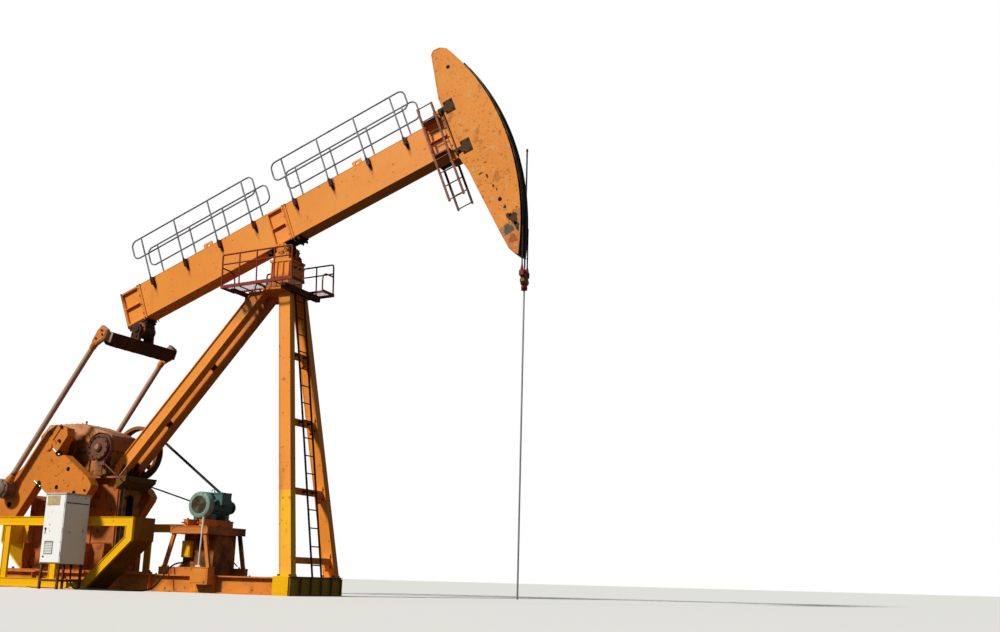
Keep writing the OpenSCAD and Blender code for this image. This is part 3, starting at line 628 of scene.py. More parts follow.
# Input sheave
# A cast-iron sheave with five V grooves and six tapered spokes, keyed to the reducer's input shaft.
cast = finish("oily_cast_iron", "#4a3524", [
    (10, 1, 7, 0.52, 0.64, 0.7, "#2a1c12"), (2, 1, 4, 0.45, 0.7, 0.6, "#7a4a26")], 0.5, 0.3)
sheave_rust = finish("rusty_orange_casting", "#8a5026", [
    (10, 1, 7, 0.52, 0.64, 0.7, "#40240f"), (2, 1, 4, 0.45, 0.7, 0.6, "#b06a30")], 0.6, 0.1)


def grooved(outer, inner, first, count, pitch=0.027):
    """A rim's section: V grooves cut between flanges, as (distance, radius) points, closed along the bore."""
    section = [[first - 0.020, inner], [first - 0.020, outer]]
    for k in range(count):
        middle = first + 0.0155 + k * pitch
        section += [[middle - 0.011, outer], [middle - 0.006, outer - 0.026],
                    [middle + 0.006, outer - 0.026], [middle + 0.011, outer]]
    return section + [[first + count * pitch + 0.022, outer], [first + count * pitch + 0.022, inner]]


rim = turned(grooved(0.585, 0.515, 0.520, 5), sheave_at, sides=72, closed=True)
spoke_profile = np.array([[-0.022, -0.05], [0.022, -0.05], [0.034, -0.02], [0.034, 0.02], [0.022, 0.05],
                          [-0.022, 0.05], [-0.034, 0.02], [-0.034, -0.02]])
spokes = [sweep([sheave_at + [0.09 * np.cos(a), 0.588, 0.09 * np.sin(a)],
                 sheave_at + [0.53 * np.cos(a), 0.588, 0.53 * np.sin(a)]], spoke_profile,
                up=(np.sin(a), 0, -np.cos(a))) for a in np.arange(6) * np.pi / 3 + 0.3]
hub = turned([[0.496, 0.06], [0.496, 0.115], [0.66, 0.115], [0.67, 0.10], [0.67, 0.056], [0.69, 0.05],
              [0.69, 0.01]], sheave_at)
shaft = turned([[-0.66, 0.02], [-0.66, 0.05], [-0.65, 0.055], [0.50, 0.055], [0.50, 0.02]], sheave_at,
               sides=24)
made = piece("input_sheave", join(rim, *spokes, hub, shaft), sheave_rust, "input_shaft")
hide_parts("drive_sheave")

# V-belts
# Five rubber belts side by side, worn dull on the back, in one fixed loop round both sheaves.
belt = finish("worn_belt_rubber", "#22201e", [(30, 1, 4, 0.5, 0.65, 0.5, "#3c3732")], 0.6, 0, 0.0004)
motor_at = np.array([-1.44, 0, 1.69])
reach = motor_at - sheave_at
length = np.linalg.norm(reach)
heading = np.arctan2(reach[2], reach[0])
big, small = 0.578, 0.123
open_angle = np.arccos((big - small) / length)
round_big = heading + open_angle + (2 * np.pi - 2 * open_angle) * np.arange(49) / 48
round_small = heading - open_angle + 2 * open_angle * np.arange(17) / 16
loop = np.vstack([circle(sheave_at, big, round_big), circle(motor_at, small, round_small)])
belts = [sweep(loop + [0, 0.5355 + 0.027 * k, 0],
               [[0.007, -0.010], [0.007, 0.010], [-0.007, 0.007], [-0.007, -0.007]], up=(0, 1, 0),
               closed=True) for k in range(5)]
made = piece("v_belts", join(*belts), belt, "frame")
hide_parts("drive_belts")

# Brake drum
# A cast drum on the near end of the input shaft, with a ridged web, a bright hub and a band of channel.
drum_rust = finish("rusted_drum", "#74493a", [
    (14, 1, 7, 0.54, 0.66, 0.7, "#3c2217"), (3, 1, 4, 0.45, 0.7, 0.5, "#8a5a44")], 0.6, 0.1)
coat(drum_rust, "brake_drum")
drum = turned([[-0.640, 0.250], [-0.652, 0.250], [-0.660, 0.243], [-0.660, 0.222], [-0.652, 0.214],
               [-0.625, 0.206], [-0.612, 0.196], [-0.606, 0.184], [-0.616, 0.176], [-0.626, 0.168],
               [-0.616, 0.158], [-0.606, 0.150], [-0.606, 0.128], [-0.620, 0.120], [-0.630, 0.112],
               [-0.622, 0.104], [-0.622, 0.092], [-0.670, 0.088], [-0.680, 0.080], [-0.680, 0.020]],
              sheave_at, sides=56)
piece("drum_ring", drum, drum_rust, "input_shaft")
fasten("drum_bolts", bolts(ring_places(sheave_at + [0, -0.66, 0], 0.228, 12), [0, -1, 0], 0.03, 0.016),
       "input_shaft")
hub_steel = finish("worn_bright_steel", "#b08a6a", [(20, 1, 4, 0.5, 0.65, 0.6, "#7a5236")], 0.45, 0.4,
                   0.0003)
piece("drum_hub", turned([[-0.67, 0.055], [-0.695, 0.055], [-0.70, 0.048], [-0.70, 0.005]], sheave_at,
                         sides=24), hub_steel, "input_shaft")
band_angle = np.radians(np.arange(-60, 241, 10))
band_line = circle(sheave_at + [0, -0.575, 0], 0.285, band_angle)
band = join(sweep(band_line, [[-0.026, -0.045], [-0.018, -0.045], [-0.018, -0.020], [0.018, -0.020],
                              [0.018, -0.045], [0.026, -0.045], [0.026, 0.045], [-0.026, 0.045]],
                  up=(0, 1, 0)), block([-3.915, -0.60, 2.48], [-3.735, -0.55, 2.62]),
            block([-3.885, -0.59, 2.272], [-3.795, -0.56, 2.49]),
            block([-3.92, -0.60, 2.272], [-3.76, -0.45, 2.30]),
            tube([[-3.825, -0.575, 2.57], [-3.495, -0.60, 2.35], [-3.26, -0.62, 2.19]], 0.014))
piece("brake_band", band, drum_rust, "frame")

# Electric motor
# A totally enclosed induction motor: finned cast frame, pressed fan cover with a wire grille, terminal box
# and feet, in grey-green machine enamel.
green = finish("grey_green_enamel", "#4d7371", [(18, 1, 7, 0.6, 0.68, 0.7, "#4a3c2c"),
                                                (3, 1, 4, 0.42, 0.7, 0.5, "#2f5057"),
                                                (4, 1, 5, 0.6, 0.75, 0.35, "#8aa295")], 0.42)
pale_green = finish("pale_green_enamel", "#7f9b8c",
                    [(16, 1, 7, 0.56, 0.66, 0.7, "#5c5a44"), (4, 1, 5, 0.5, 0.7, 0.4, "#5f7f76")], 0.45)
coat(green, "motor")
mx = motor_at[0]
fin_angle = np.radians(np.concatenate([np.arange(20, 161, 8), np.arange(200, 341, 8)]))
fins = [sweep([motor_at + [0.236 * np.cos(a), -0.24, 0.236 * np.sin(a)],
               motor_at + [0.236 * np.cos(a), 0.37, 0.236 * np.sin(a)]],
              [[-0.004, -0.004], [0.004, -0.004], [0.003, 0.026], [-0.003, 0.026]],
              up=(np.cos(a), 0, np.sin(a))) for a in fin_angle]
bell = [turned([[0.36, 0.245], [0.385, 0.25], [0.41, 0.245], [0.425, 0.20], [0.445, 0.13], [0.455, 0.09],
                [0.455, 0.045]], motor_at, sides=40)]
eye = tube(ring_places(motor_at + [0, 0.06, 0.29], 0.035, 16), 0.009, 8, (0, 1, 0), True)
piece("motor_fins", join(*fins, *bell, eye), green, "frame")
fan = turned([[-0.20, 0.250], [-0.21, 0.262], [-0.33, 0.262], [-0.352, 0.252], [-0.366, 0.228],
              [-0.366, 0.178], [-0.356, 0.172], [-0.350, 0.172], [-0.350, 0.20], [-0.20, 0.24]], motor_at,
             sides=48, closed=True)
piece("fan_cover", fan, pale_green, "frame")
grille_brown = finish("rusted_grille", "#6a5238", [(30, 1, 4, 0.5, 0.62, 0.7, "#3f2e1e")], 0.7, 0.2, 0.0003)
grille = [turned([[-0.352, r - 0.004], [-0.360, r - 0.004], [-0.360, r + 0.004], [-0.352, r + 0.004]],
                 motor_at, sides=32, closed=True) for r in np.arange(0.02, 0.178, 0.0195)]
grille += [tube([motor_at + [-0.175 * np.cos(a), -0.356, -0.175 * np.sin(a)],
                 motor_at + [0.175 * np.cos(a), -0.356, 0.175 * np.sin(a)]], 0.004, 6)
           for a in (0.4, 1.45, 2.5)]
piece("fan_grille", join(*grille), grille_brown, "frame")
terminal = join(block([mx + 0.165, -0.13, 1.915], [mx + 0.375, 0.19, 1.945], 0.006),
                block([mx + 0.18, -0.10, 1.90], [mx + 0.36, 0.16, 1.93]),
                turned([[0.0, 0.03], [0.05, 0.03], [0.055, 0.022], [0.09, 0.022]], [mx + 0.27, -0.12, 1.78],
                       (0, -1, 0), 16))
piece("terminal_box", terminal, green, "frame")
motor_bolts = join(bolts([[mx + x, y, 1.52] for x in (-0.2, 0.2) for y in (-0.14, 0.28)], [0, 0, 1], 0.034,
                         0.024), bolts(ring_places(motor_at + [0, 0.42, 0], 0.215, 8, 0.4), [0, 1, 0],
                                       0.026, 0.014),
                   bolts([[mx + x, y, 1.945] for x in (0.185, 0.355) for y in (-0.11, 0.17)], [0, 0, 1],
                         0.018, 0.01))
fasten("motor_bolts", motor_bolts)

# Motor pulley
# A small five-groove cast pulley on the motor's shaft.
pulley = join(turned(grooved(0.130, 0.05, 0.520, 5), motor_at, sides=40, closed=True),
              turned([[0.31, 0.02], [0.31, 0.039], [0.70, 0.039], [0.705, 0.03], [0.705, 0.01]], motor_at,
                     sides=24))
made = piece("belt_pulley", pulley, cast, "motor_shaft")
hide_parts("motor_pulley")

# Motor stand
# A table of channel on splayed angle legs, with slide rails for tightening the belts, a recess under it and a
# front end both darkened with painted shade, and a yellow junction box on a bracket.
stand_painted_shade = [(0.92, 0.01, "#2a2012", [((0, 1, 0), -0.48), ((0, 0, -1), -1.118), ((0, 0, 1), 0.335)]),
               (0.88, 0.01, "#453519", [((1, 0, 0), -1.0), ((0, 1, 0), -0.585)])]
table = finish("orange_enamel_shaded_recess", "#cf772f",
               [(12, 1, 8, 0.6, 0.67, 0.8, "#4f2a14"), (1.5, 1, 4, 0.4, 0.7, 0.5, "#e08f42"),
                (4, 6, 5, 0.54, 0.75, 0.45, "#8a481d")], 0.55, zones=stand_painted_shade)
coat(table, "motor_stand")
frame_bars = [block([-1.885, -0.622, 1.245], [-0.995, -0.605, 1.265]),
              block([-1.885, -0.622, 1.115], [-0.995, -0.605, 1.135]),
              block([-1.89, -0.61, 1.115], [-1.875, 0.64, 1.265]),
              block([-1.005, -0.61, 1.115], [-0.99, 0.64, 1.265])]
frame_bars += [block([-2.085, y - 0.065, 0.455], [-0.855, y + 0.065, 0.476]) for y in (-0.56, 0.56)]
frame_bars += [block([mx + x - 0.06, -0.49, 1.385], [mx + x + 0.06, 0.49, 1.402]) for x in (-0.19, 0.19)]
frame_bars += [tube([[mx + x, -0.60, 1.33], [mx + x, -0.47, 1.33]], 0.014) for x in (-0.19, 0.19)]
frame_bars.append(sweep([[-1.79, 0.585, 1.10], [-1.10, 0.585, 0.52]], flat(0.02, 0.004)))
piece("stand_table", join(*frame_bars), table, "frame")
stand_fast = [[x, y, 0.476] for x in (-2.04, -1.9, -1.03, -0.9) for y in (-0.56, 0.56)]
stand_fast += [[mx + x, y, 1.402] for x in (-0.19, 0.19) for y in (-0.42, 0.42)]
fasten("table_bolts", bolts(stand_fast, [0, 0, 1], 0.036, 0.026))
box_shape = join(block([-1.806, -0.326, 0.664], [-1.594, -0.214, 0.986], 0.012),
                 block([-1.79, -0.336, 0.69], [-1.61, -0.322, 0.96], 0.006),
                 block([-1.60, -0.345, 0.80], [-1.585, -0.32, 0.86], 0.003))
piece("junction_box", box_shape, yellow, "frame")
gland = join(turned([[0.0, 0.030], [0.03, 0.030], [0.034, 0.025], [0.062, 0.025], [0.066, 0.018],
                     [0.085, 0.0165]], [-1.70, -0.27, 0.668], (0, 0, -1), 18),
             turned([[0.0, 0.034], [0.02, 0.034], [0.024, 0.027], [0.05, 0.027], [0.055, 0.0185],
                     [0.08, 0.0165]], [-3.35, -1.62, 0.473], (0, 0, -1), 18))
piece("cable_glands", gland, cable_rubber, "frame")

# Guards
# Folded channel frames beside the cranks, welded with mitred corners on outriggers from the skid, and closed
# at both ends by sheet that follows the slope, all in safety yellow.
outer = np.array([[-7.74, 0.95], [-7.74, 1.39], [-2.15, 1.39], [-2.15, 0.95], [-3.18, 0.02], [-6.71, 0.02]])
inner = np.array([[-7.56, 1.01], [-7.56, 1.215], [-2.33, 1.215], [-2.33, 1.01], [-3.24, 0.19],
                  [-6.65, 0.19]])
section = np.array([[0, 1.345], [0, 1.40], [0.075, 1.40], [0.10, 1.384], [0.90, 1.384], [0.925, 1.40],
                    [1, 1.40], [1, 1.345]])
rings = np.empty((6, 8, 3))
rings[:, :, [0, 2]] = inner[:, None] + (outer - inner)[:, None] * section[None, :, :1]
rings[:, :, 1] = section[None, :, 1]
guard = [skin(rings, True)]
for x in (-4.06, -5.33, -6.70):
    guard.append(sweep([[x, 1.37, 0.18], [x, 1.37, 1.225]],
                       [[-0.08, -0.025], [-0.08, 0.022], [-0.068, 0.022], [-0.064, 0.008], [0.064, 0.008],
                        [0.068, 0.022], [0.08, 0.022], [0.08, -0.025]], up=(0, 1, 0)))
for sign, shift in ((1, 0), (-1, -9.89)):
    slope = np.array([[-2.19, 1.39], [-2.15, 1.39], [-2.15, 0.95], [-3.18, 0.02], [-3.235, 0.02],
                      [-2.19, 0.966]])
    lip = np.array([[-2.20, 1.39], [-2.15, 1.39], [-2.15, 1.35], [-2.20, 1.35]])
    guard.append(plate(slope * [sign, 1] + [shift, 0], 0.76, 1.346))
    guard.append(plate(lip * [sign, 1] + [shift, 0], 0.755, 0.775))
for x in (-3.4, -4.6, -5.8):
    guard += [block([x - 0.06, 0.75, 0.0], [x + 0.06, 1.346, 0.12]),
              block([x - 0.06, 1.34, 0.0], [x + 0.06, 1.40, 0.04])]
guard = join(*guard)
# The same yellow, with the front end sheets painted brown: painted shade, with some rust
guard_yellow = finish("yellow_enamel_guard", "#f6b800", yellow_layers, 0.42,
                      zones=[(0.85, 0.006, "#55371c", [((0, 1, 0), -1.338), ((1, 0, 0), -3.27)])])
for side, body_node in ((-1, "guard_near"), (1, "guard_far")):
    made = piece(body_node + "_frame", (guard[0] * [1, side, 1], guard[1]), guard_yellow, "frame",
                 20)
    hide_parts(body_node)
guard_fast = [[x + d, 1.33, 0.12] for x in (-3.4, -4.6, -5.8) for d in (-0.03, 0.03)]
fasten("guard_bolts", both(bolts(guard_fast, [0, 0, 1], 0.03, 0.02)))

# Control cabinet
# A folded sheet cabinet, white powder coat over rust, with a door, a small window, a louvred vent and a rain
# lip, on legs of angle iron.
cabinet_white = finish("white_powder_coat", "#fbfbf7", [
    (6, 1, 9, 0.655, 0.69, 0.75, "#8a4e26"), (1.5, 1, 4, 0.5, 0.8, 0.2, "#e6e2d8"),
    (7, 8, 5, 0.66, 0.80, 0.40, "#a87447"), (40, 1, 3, 0.70, 0.74, 0.5, "#6b452c")], 0.4, ragged=0.012,
    zones=[(1.0, 0.005, "#6a3a22", [((0, 0, -1), -0.474)]), (0.55, 0.02, "#8e5a36", [((0, 0, 1), 1.755)])])
coat(cabinet_white, "control_cabinet")
door = [block([-3.685, -2.099, 0.49], [-3.225, -2.088, 1.755], 0.004),
        block([-3.222, -2.07, 0.49], [-3.206, -1.47, 1.60], 0.004),
        block([-3.222, -2.07, 1.625], [-3.206, -1.47, 1.755], 0.004)]
door += [plate([[-2.099, z], [-2.108, z - 0.004], [-2.108, z + 0.006], [-2.099, z + 0.022]], -3.60, -3.42,
               0.001, "yzx") for z in np.arange(0.665, 0.87, 0.03)]
door += [tube([[-3.228, -2.098, z - 0.05], [-3.228, -2.098, z + 0.05]], 0.008, 10, (0, 1, 0))
         for z in (0.65, 1.10, 1.58)]
piece("cabinet_door", join(*door), cabinet_white, "frame")
lock = join(turned([[0.0, 0.024], [0.008, 0.024], [0.009, 0.018]], [-3.63, -2.098, 1.12], (0, -1, 0), 18),
            block([-3.637, -2.109, 1.02], [-3.623, -2.099, 1.13], 0.003),
            turned([[0.0, 0.018], [0.009, 0.018], [0.0095, 0.012]], [-3.62, -2.098, 0.60], (0, -1, 0), 16))
fasten("cabinet_lock", lock)
seams = join(block([-3.209, -2.06, 1.603], [-3.2045, -1.47, 1.622], 0.001),
             block([-3.70, -2.0905, 0.470], [-3.21, -2.0885, 0.486], 0.0005))
window = join(block([-3.65, -2.1065, 1.565], [-3.345, -2.0985, 1.748], 0.002),
              block([-3.62, -2.1085, 1.58], [-3.375, -2.106, 1.733], 0.001))
beige = finish("yellowed_plastic", "#c9b088", [(14, 1, 5, 0.5, 0.7, 0.5, "#a07f52"),
                                               (40, 1, 3, 0.6, 0.7, 0.5, "#7a5632")], 0.4)
piece("cabinet_window", window, beige, "frame")
grey = finish("bare_grey_sheet", "#8f8880", [(20, 1, 5, 0.52, 0.66, 0.6, "#6a4a34")], 0.5)
piece("cabinet_vent", block([-3.615, -2.1055, 0.645], [-3.405, -2.0985, 0.892], 0.001), grey, "frame")
rust_seam = finish("rusted_seam", "#7a4424", [(20, 3, 5, 0.45, 0.62, 0.7, "#b0713f")], 0.8)
piece("cabinet_seams", seams, rust_seam, "frame")

# Cranks and counterweights
# Cast arms keyed and clamped to the crankshaft, each with a cast weight bolted along its edge by studs in
# sockets painted black as shade, brushed over with orange enamel that has browned.
crank_turn = np.radians(35.2)
crank_orange = finish("browned_orange_enamel", "#d9802a", [
    (10, 1, 8, 0.59, 0.66, 0.7, "#50290f"), (1.2, 1, 5, 0.4, 0.7, 0.5, "#c06c24"),
    (3, 4, 5, 0.55, 0.75, 0.4, "#7a3f17"), (60, 1, 3, 0.69, 0.73, 0.6, "#3f2412")], 0.55)
coat(crank_orange, "crank_near", "crank_far", "weight_near", "weight_far", "crankshaft")
hub_cover = turned([[0.93, 0.088], [0.942, 0.088], [0.948, 0.08], [0.948, 0.03], [0.944, 0.026]], [0, 0, 0],
                   sides=32)
arm_rib = [plate([[-0.275, 0.05], [-0.245, 0.05], [-0.205, -1.0], [-0.275, -1.0]], 0.918, 0.926, 0.002),
           plate([[-0.13, 0.13], [0.13, 0.13], [0.12, 0.16], [-0.12, 0.16]], 0.918, 0.93, 0.002)]
crank_parts = both(join(hub_cover, *arm_rib))
piece("crank_covers", turn_to(crank_parts, crank_at, crank_turn), crank_orange, "cranks")
bright = finish("bright_stud", "#d8cfc4", [(25, 1, 4, 0.55, 0.7, 0.6, "#8a6a4c")], 0.35, 0.5, 0.0003)
studs, sockets = [], []
for x, z in ((0.235, 0.034), (0.265, -0.735)):
    studs += [tube([[x - 0.085, 0.936, z], [x + 0.03, 0.936, z]], 0.020, 12),
              tube([[x + 0.095, 0.93, z + 0.004], [x + 0.125, 0.93, z + 0.004]], 0.022, 12)]
    sockets += [turned([[-0.035, 0.05], [-0.03, 0.055], [0.032, 0.055], [0.036, 0.05]],
                       [x + 0.06, 0.905, z], (1, 0, 0), 20)]
sockets += [turned([[0.0, 0.047], [0.004, 0.047], [0.004, 0.01]], [x, 0.9165, z], (0, 1, 0), 24)
            for x, z in ((0.745, -0.05), (0.745, -0.502), (1.20, -0.32), (-0.06, -1.50))]
piece("weight_studs", turn_to(both(join(*studs)), crank_at, crank_turn), bright, "cranks")
piece("stud_sockets_painted_shade", turn_to(both(join(*sockets)), crank_at, crank_turn), shade_black, "cranks")
nuts = join(bolts([[0.15, 0.92, 0.25], [-0.15, 0.92, 0.25], [0.0, 0.92, 0.5]], [0, 1, 0], 0.07, 0.04),
            bolts([[1.40, 0.92, -0.12], [1.40, 0.92, -0.55]], [0, 1, 0], 0.05, 0.03))
fasten("crank_nuts", turn_to(both(nuts), crank_at, crank_turn), "cranks")

# Walking beam
# A box girder welded from plate, open at the tail, over the saddle and at the head, where cross plates and
# long tie bolts hold the bearings. Rust runs down from each handrail bracket.
tilt = np.radians(21.7)
along_beam, up_beam = (np.cos(tilt), 0, np.sin(tilt)), (-np.sin(tilt), 0, np.cos(tilt))
shift_x, shift_z = pivot[2] * np.sin(tilt), pivot[2] * np.cos(tilt)


def on_beam(shape):
    """From the beam's own frame, X along it and Z up from the saddle axis, to the raised beam."""
    return turn_to(shape, pivot, -tilt)


beam_orange = finish("orange_enamel_beam", "#ea8e33",
                     [(13, 1, 9, 0.63, 0.67, 0.7, "#5f3216"), (0.8, 1, 4, 0.35, 0.7, 0.6, "#f29c3e"),
                      (2.5, 5, 5, 0.58, 0.80, 0.35, "#b5661f"), (45, 1, 3, 0.71, 0.75, 0.55, "#57320f"),
                      (1.9, 1, 6, 0.66, 0.74, 0.35, "#b98a4e")], 0.48)
tree = beam_orange.node_tree
place = add(tree, "TexCoord").outputs["Object"]
run = add(tree, "VectorMath", {"operation": "DOT_PRODUCT", 1: along_beam}, {0: place}).outputs["Value"]
rise = add(tree, "VectorMath", {"operation": "DOT_PRODUCT", 1: up_beam}, {0: place}).outputs["Value"]
half = add(tree, "Math", {"operation": "GREATER_THAN", 1: shift_x + 0.05}, {0: run}).outputs[0]
start = add(tree, "MapRange", {"To Min": shift_x - 3.19, "To Max": shift_x + 0.57},
            {"Value": half}).outputs[0]
gone = add(tree, "Math", {"operation": "SUBTRACT"}, {0: run, 1: start}).outputs[0]
wave = add(tree, "Math", {"operation": "WRAP", 1: 0.4515, 2: -0.4515}, {0: gone}).outputs[0]
fine = add(tree, "TexNoise", {"Scale": 9.0, "Detail": 5.0}, {"Vector": place}).outputs["Fac"]
wobble = add(tree, "MapRange", {"To Min": -0.05, "To Max": 0.05}, {"Value": fine}).outputs[0]
wave = add(tree, "Math", {"operation": "ADD"}, {0: wave, 1: wobble}).outputs[0]
width = add(tree, "Math", {"operation": "ABSOLUTE"}, {0: wave}).outputs[0]
narrow = add(tree, "MapRange", {"From Min": shift_z + 0.35, "From Max": shift_z + 0.72, "To Min": 0.002,
                                "To Max": 0.045}, {"Value": rise}).outputs[0]
mark = add(tree, "Math", {"operation": "LESS_THAN"}, {0: width, 1: narrow}).outputs[0]
fade = add(tree, "MapRange", {"From Min": shift_z + 0.40, "From Max": shift_z + 0.75, "To Max": 0.8},
           {"Value": rise}).outputs[0]
mark = add(tree, "Math", {"operation": "MULTIPLY"}, {0: mark, 1: fade}).outputs[0]
shader = tree.nodes["Principled BSDF"]
under = shader.inputs["Base Color"].links[0].from_socket
stained = add(tree, "Mix", {"data_type": "RGBA", 7: linear("#6b2f12")}, {0: mark, 6: under}).outputs[2]
tree.links.new(stained, shader.inputs["Base Color"])
coat(beam_orange, "walking_beam")
girder = []
for x0, x1 in ((-4.05, -3.65), (-0.13, 0.20), (3.696, 4.116)):
    middle = (x0 + x1) / 2
    girder += [block([x0 + 0.001, 0.10, 0.16], [x1 - 0.001, 0.115, 0.91], 0.002),
               block([x0 - 0.01, 0.11, 0.524], [x1 + 0.01, 0.172, 0.54], 0.002)]
    girder += [block([x1 + 0.01, 0.17, 0.14], [x1 + 0.07, 0.190, 0.925], 0.004),
               block([x0 - 0.035, 0.17, 0.14], [x0 - 0.012, 0.182, 0.925], 0.003)]
girder += [block([-4.09, 0.173, z], [4.20, 0.179, z + 0.012], 0.002) for z in (0.139, 0.913)]
girder += [block([x - 0.003, 0.1735, 0.16], [x + 0.003, 0.1768, 0.91], 0.001) for x in (-1.95, 1.95)]
girder += [block([-4.098, 0.02, 0.12], [-4.086, 0.186, 0.945])]
piece("beam_plates", on_beam(both(join(*girder))), beam_orange, "beam")
rod_places = (-3.56, 0.31)
tie_rods = join(*[tube([[x - d, 0.192, 0.10], [x - d, 0.192, 0.925]], 0.011, 10, (1, 0, 0))
                  for x in rod_places for d in (0, 0.06)])
piece("tie_rods", on_beam(both(tie_rods)), beam_orange, "beam")
girder_fast = join(bolts([[x + d, 0.192, 0.905] for x in rod_places for d in (0, -0.06)], [0, 0, 1], 0.04,
                         0.02), bolts([[x + 0.04, 0.19, z] for x in (-3.65, 0.20, 4.116)
                                       for z in (0.24, 0.45, 0.66, 0.84)], [0, 1, 0], 0.03, 0.014))
fasten("beam_bolts", on_beam(both(girder_fast)), "beam")
eyes = join(*[tube(circle([x, 0, 0.945], [0.075, 0, 0.15], np.arange(17) * np.pi / 16), 0.013, 10,
                   (0, 1, 0)) for x in (-1.78, 2.06)])
piece("lifting_eyes", on_beam(eyes), beam_orange, "beam")

# Saddle
# The shaft that the beam rocks on, with its clamp plate and long bolts under the beam, black with grease.
grease = finish("greased_steel", "#2c2018", [(14, 1, 6, 0.5, 0.65, 0.6, "#4e3420")], 0.4, 0.5)
coat(grease, "saddle_shaft")
saddle = join(block([-0.42, 0.05, 0.112], [0.44, 0.178, 0.137]),
              *[block([x, 0.10, 0.06], [x + 0.05, 0.17, 0.115]) for x in (-0.36, 0.36)])
piece("saddle_clamps", on_beam(both(saddle)), grease, "beam")
saddle_fast = [[x, y, 0.113] for x in (-0.39, -0.30, 0.30, 0.40) for y in (0.075, 0.15)]
fasten("saddle_bolts", on_beam(both(bolts(saddle_fast, [0, 0, -1], 0.04, 0.075))), "beam")

# Handrails
# Galvanised pipe bent into long closed loops, on pipe posts whose flat feet are welded down the beam's side
# and have rusted brown.
rail_pipe = finish("weathered_galvanised_pipe", "#7f8087", [
    (9, 1, 6, 0.52, 0.64, 0.75, "#5f4a40"), (2, 1, 4, 0.45, 0.7, 0.4, "#62636a")], 0.5, 0.3, 0.0004,
    zones=[(1.0, 0.01, "#4a2415", [((np.sin(tilt), 0, -np.cos(tilt)), -(0.925 + shift_z))])])
coat(rail_pipe, "handrails_near", "handrails_far")
post_feet = [-3.19, -2.29, -1.38, -0.48, 0.57, 1.46, 2.38, 3.27]
shoes = join(*[plate([[x - 0.024, 0.91], [x + 0.024, 0.91], [x + 0.018, 0.78], [x + 0.020, 0.70],
                      [x + 0.008, 0.64], [x - 0.004, 0.69], [x - 0.014, 0.74]], 0.176, 0.190, 0.002)
               for x in post_feet])
shoe_rust = finish("rusted_bracket", "#4a2112", [(25, 1, 5, 0.5, 0.62, 0.7, "#7d3f1c")], 0.8)
piece("rail_shoes", on_beam(both(shoes)), shoe_rust, "beam")
clamps = join(*[tube([[x, 0.243, z], [x, 0.287, z]], 0.012, 8) for x in post_feet for z in (0.79, 0.86)])
fasten("rail_clamps", on_beam(both(clamps)), "beam")

# Head ladders
# Flat bar ladders hung beside the head end on brackets, near one bleached, far one darkened with painted
# shade.
ladder_red = finish("bleached_red_primer_far_shaded", "#8a5140", [
    (14, 1, 6, 0.52, 0.64, 0.7, "#4d2a1e"), (3, 1, 4, 0.45, 0.7, 0.5, "#a87a62")], 0.6,
    zones=[(0.9, 0.01, "#2b211d", [((0, 1, 0), 0.0)])])
coat(ladder_red, "head_ladders")
hooks = tube(bent([[3.60, 0.36, 1.15], [3.62, 0.37, 1.235], [4.10, 0.37, 1.235], [4.33, 0.26, 1.20]], 0.05),
             0.012, 8)
piece("ladder_hook", on_beam(hooks), grease, "beam")

# Horsehead
# Two side plates cut to the arc and welded to a curved track plate and a back plate, hinged to the beam by
# heavy pins. The enamel is scratched and speckled, and has peeled to grey and red primer at the lower tip.
head_zones = [(1.0, 0.03, "#66594a", [(tuple(-np.array(up_beam)), 1.80 - shift_z),
                                      (up_beam, -2.05 + shift_z)]),
              (1.0, 0.03, "#aa5c36", [(tuple(-np.array(up_beam)), 2.03 - shift_z)]),
              (0.85, 0.03, "#54452f", [(tuple(-np.array(up_beam)), 1.60 - shift_z),
                                       (along_beam, 4.70 + shift_x), (up_beam, -1.97 + shift_z)])]
head_orange = finish("orange_enamel_head", "#e38a35",
                     [(17, 1, 9, 0.585, 0.64, 0.75, "#7a4318"), (0.9, 1, 4, 0.35, 0.7, 0.5, "#ee9a42"),
                      (5, 1, 9, 0.575, 0.65, 0.6, "#d8a66a"), (40, 1, 3, 0.63, 0.68, 0.7, "#5a3412"),
                      (3.4, 1.6, 9, 0.60, 0.66, 0.55, "#9c5a22"), (9, 1, 9, 0.645, 0.68, 0.9, "#3b2414")],
                     0.65, zones=head_zones, ragged=0.09)
tree = head_orange.node_tree
# Painted shade: the arc track's face, 5.2523 to 5.2533 m from the saddle axis, is mixed to near black
place = add(tree, "TexCoord").outputs["Object"]
spread = add(tree, "VectorMath", {"operation": "MULTIPLY_ADD", 1: (1, 0, 1), 2: (0, 0, -6.88)}, {0: place})
radius = add(tree, "VectorMath", {"operation": "LENGTH"}, {0: spread.outputs[0]}).outputs["Value"]
face = add(tree, "MapRange", {"From Min": 5.2523, "From Max": 5.2533, "To Max": 0.94},
           {"Value": radius}).outputs[0]
shader = tree.nodes["Principled BSDF"]
under = shader.inputs["Base Color"].links[0].from_socket
arc_shade = add(tree, "Mix", {"data_type": "RGBA", 7: linear("#15100c")}, {0: face, 6: under}).outputs[2]
tree.links.new(arc_shade, shader.inputs["Base Color"])
coat(head_orange, "horsehead")
head_x = 4.20
arc_angle = np.linspace(np.arctan2(2.12, head_x + 0.72), -np.arctan2(2.45, head_x + 0.45), 41)
track = [sweep(circle([0, y, 0], 5.250, arc_angle),
               [[-0.016, -0.005], [0.006, -0.005], [0.006, 0.005], [-0.016, 0.005]], up=(0, 1, 0))
         for y in (-0.188, 0.188)]
back = np.array([[4.215, 1.30], [4.39, 2.31], [4.46, 2.379], [4.61, 2.352]])
edges = [sweep(np.stack([back[:, 0] + 0.005, 0 * back[:, 0] + y, back[:, 1]], 1), flat(0.008, 0.004),
               up=(0, 1, 0)) for y in (-0.191, 0.191)]
lower_back = np.array([[4.30, -0.47], [4.35, -0.97], [4.455, -1.87], [4.51, -2.27], [4.57, -2.405],
                       [4.66, -2.475]])
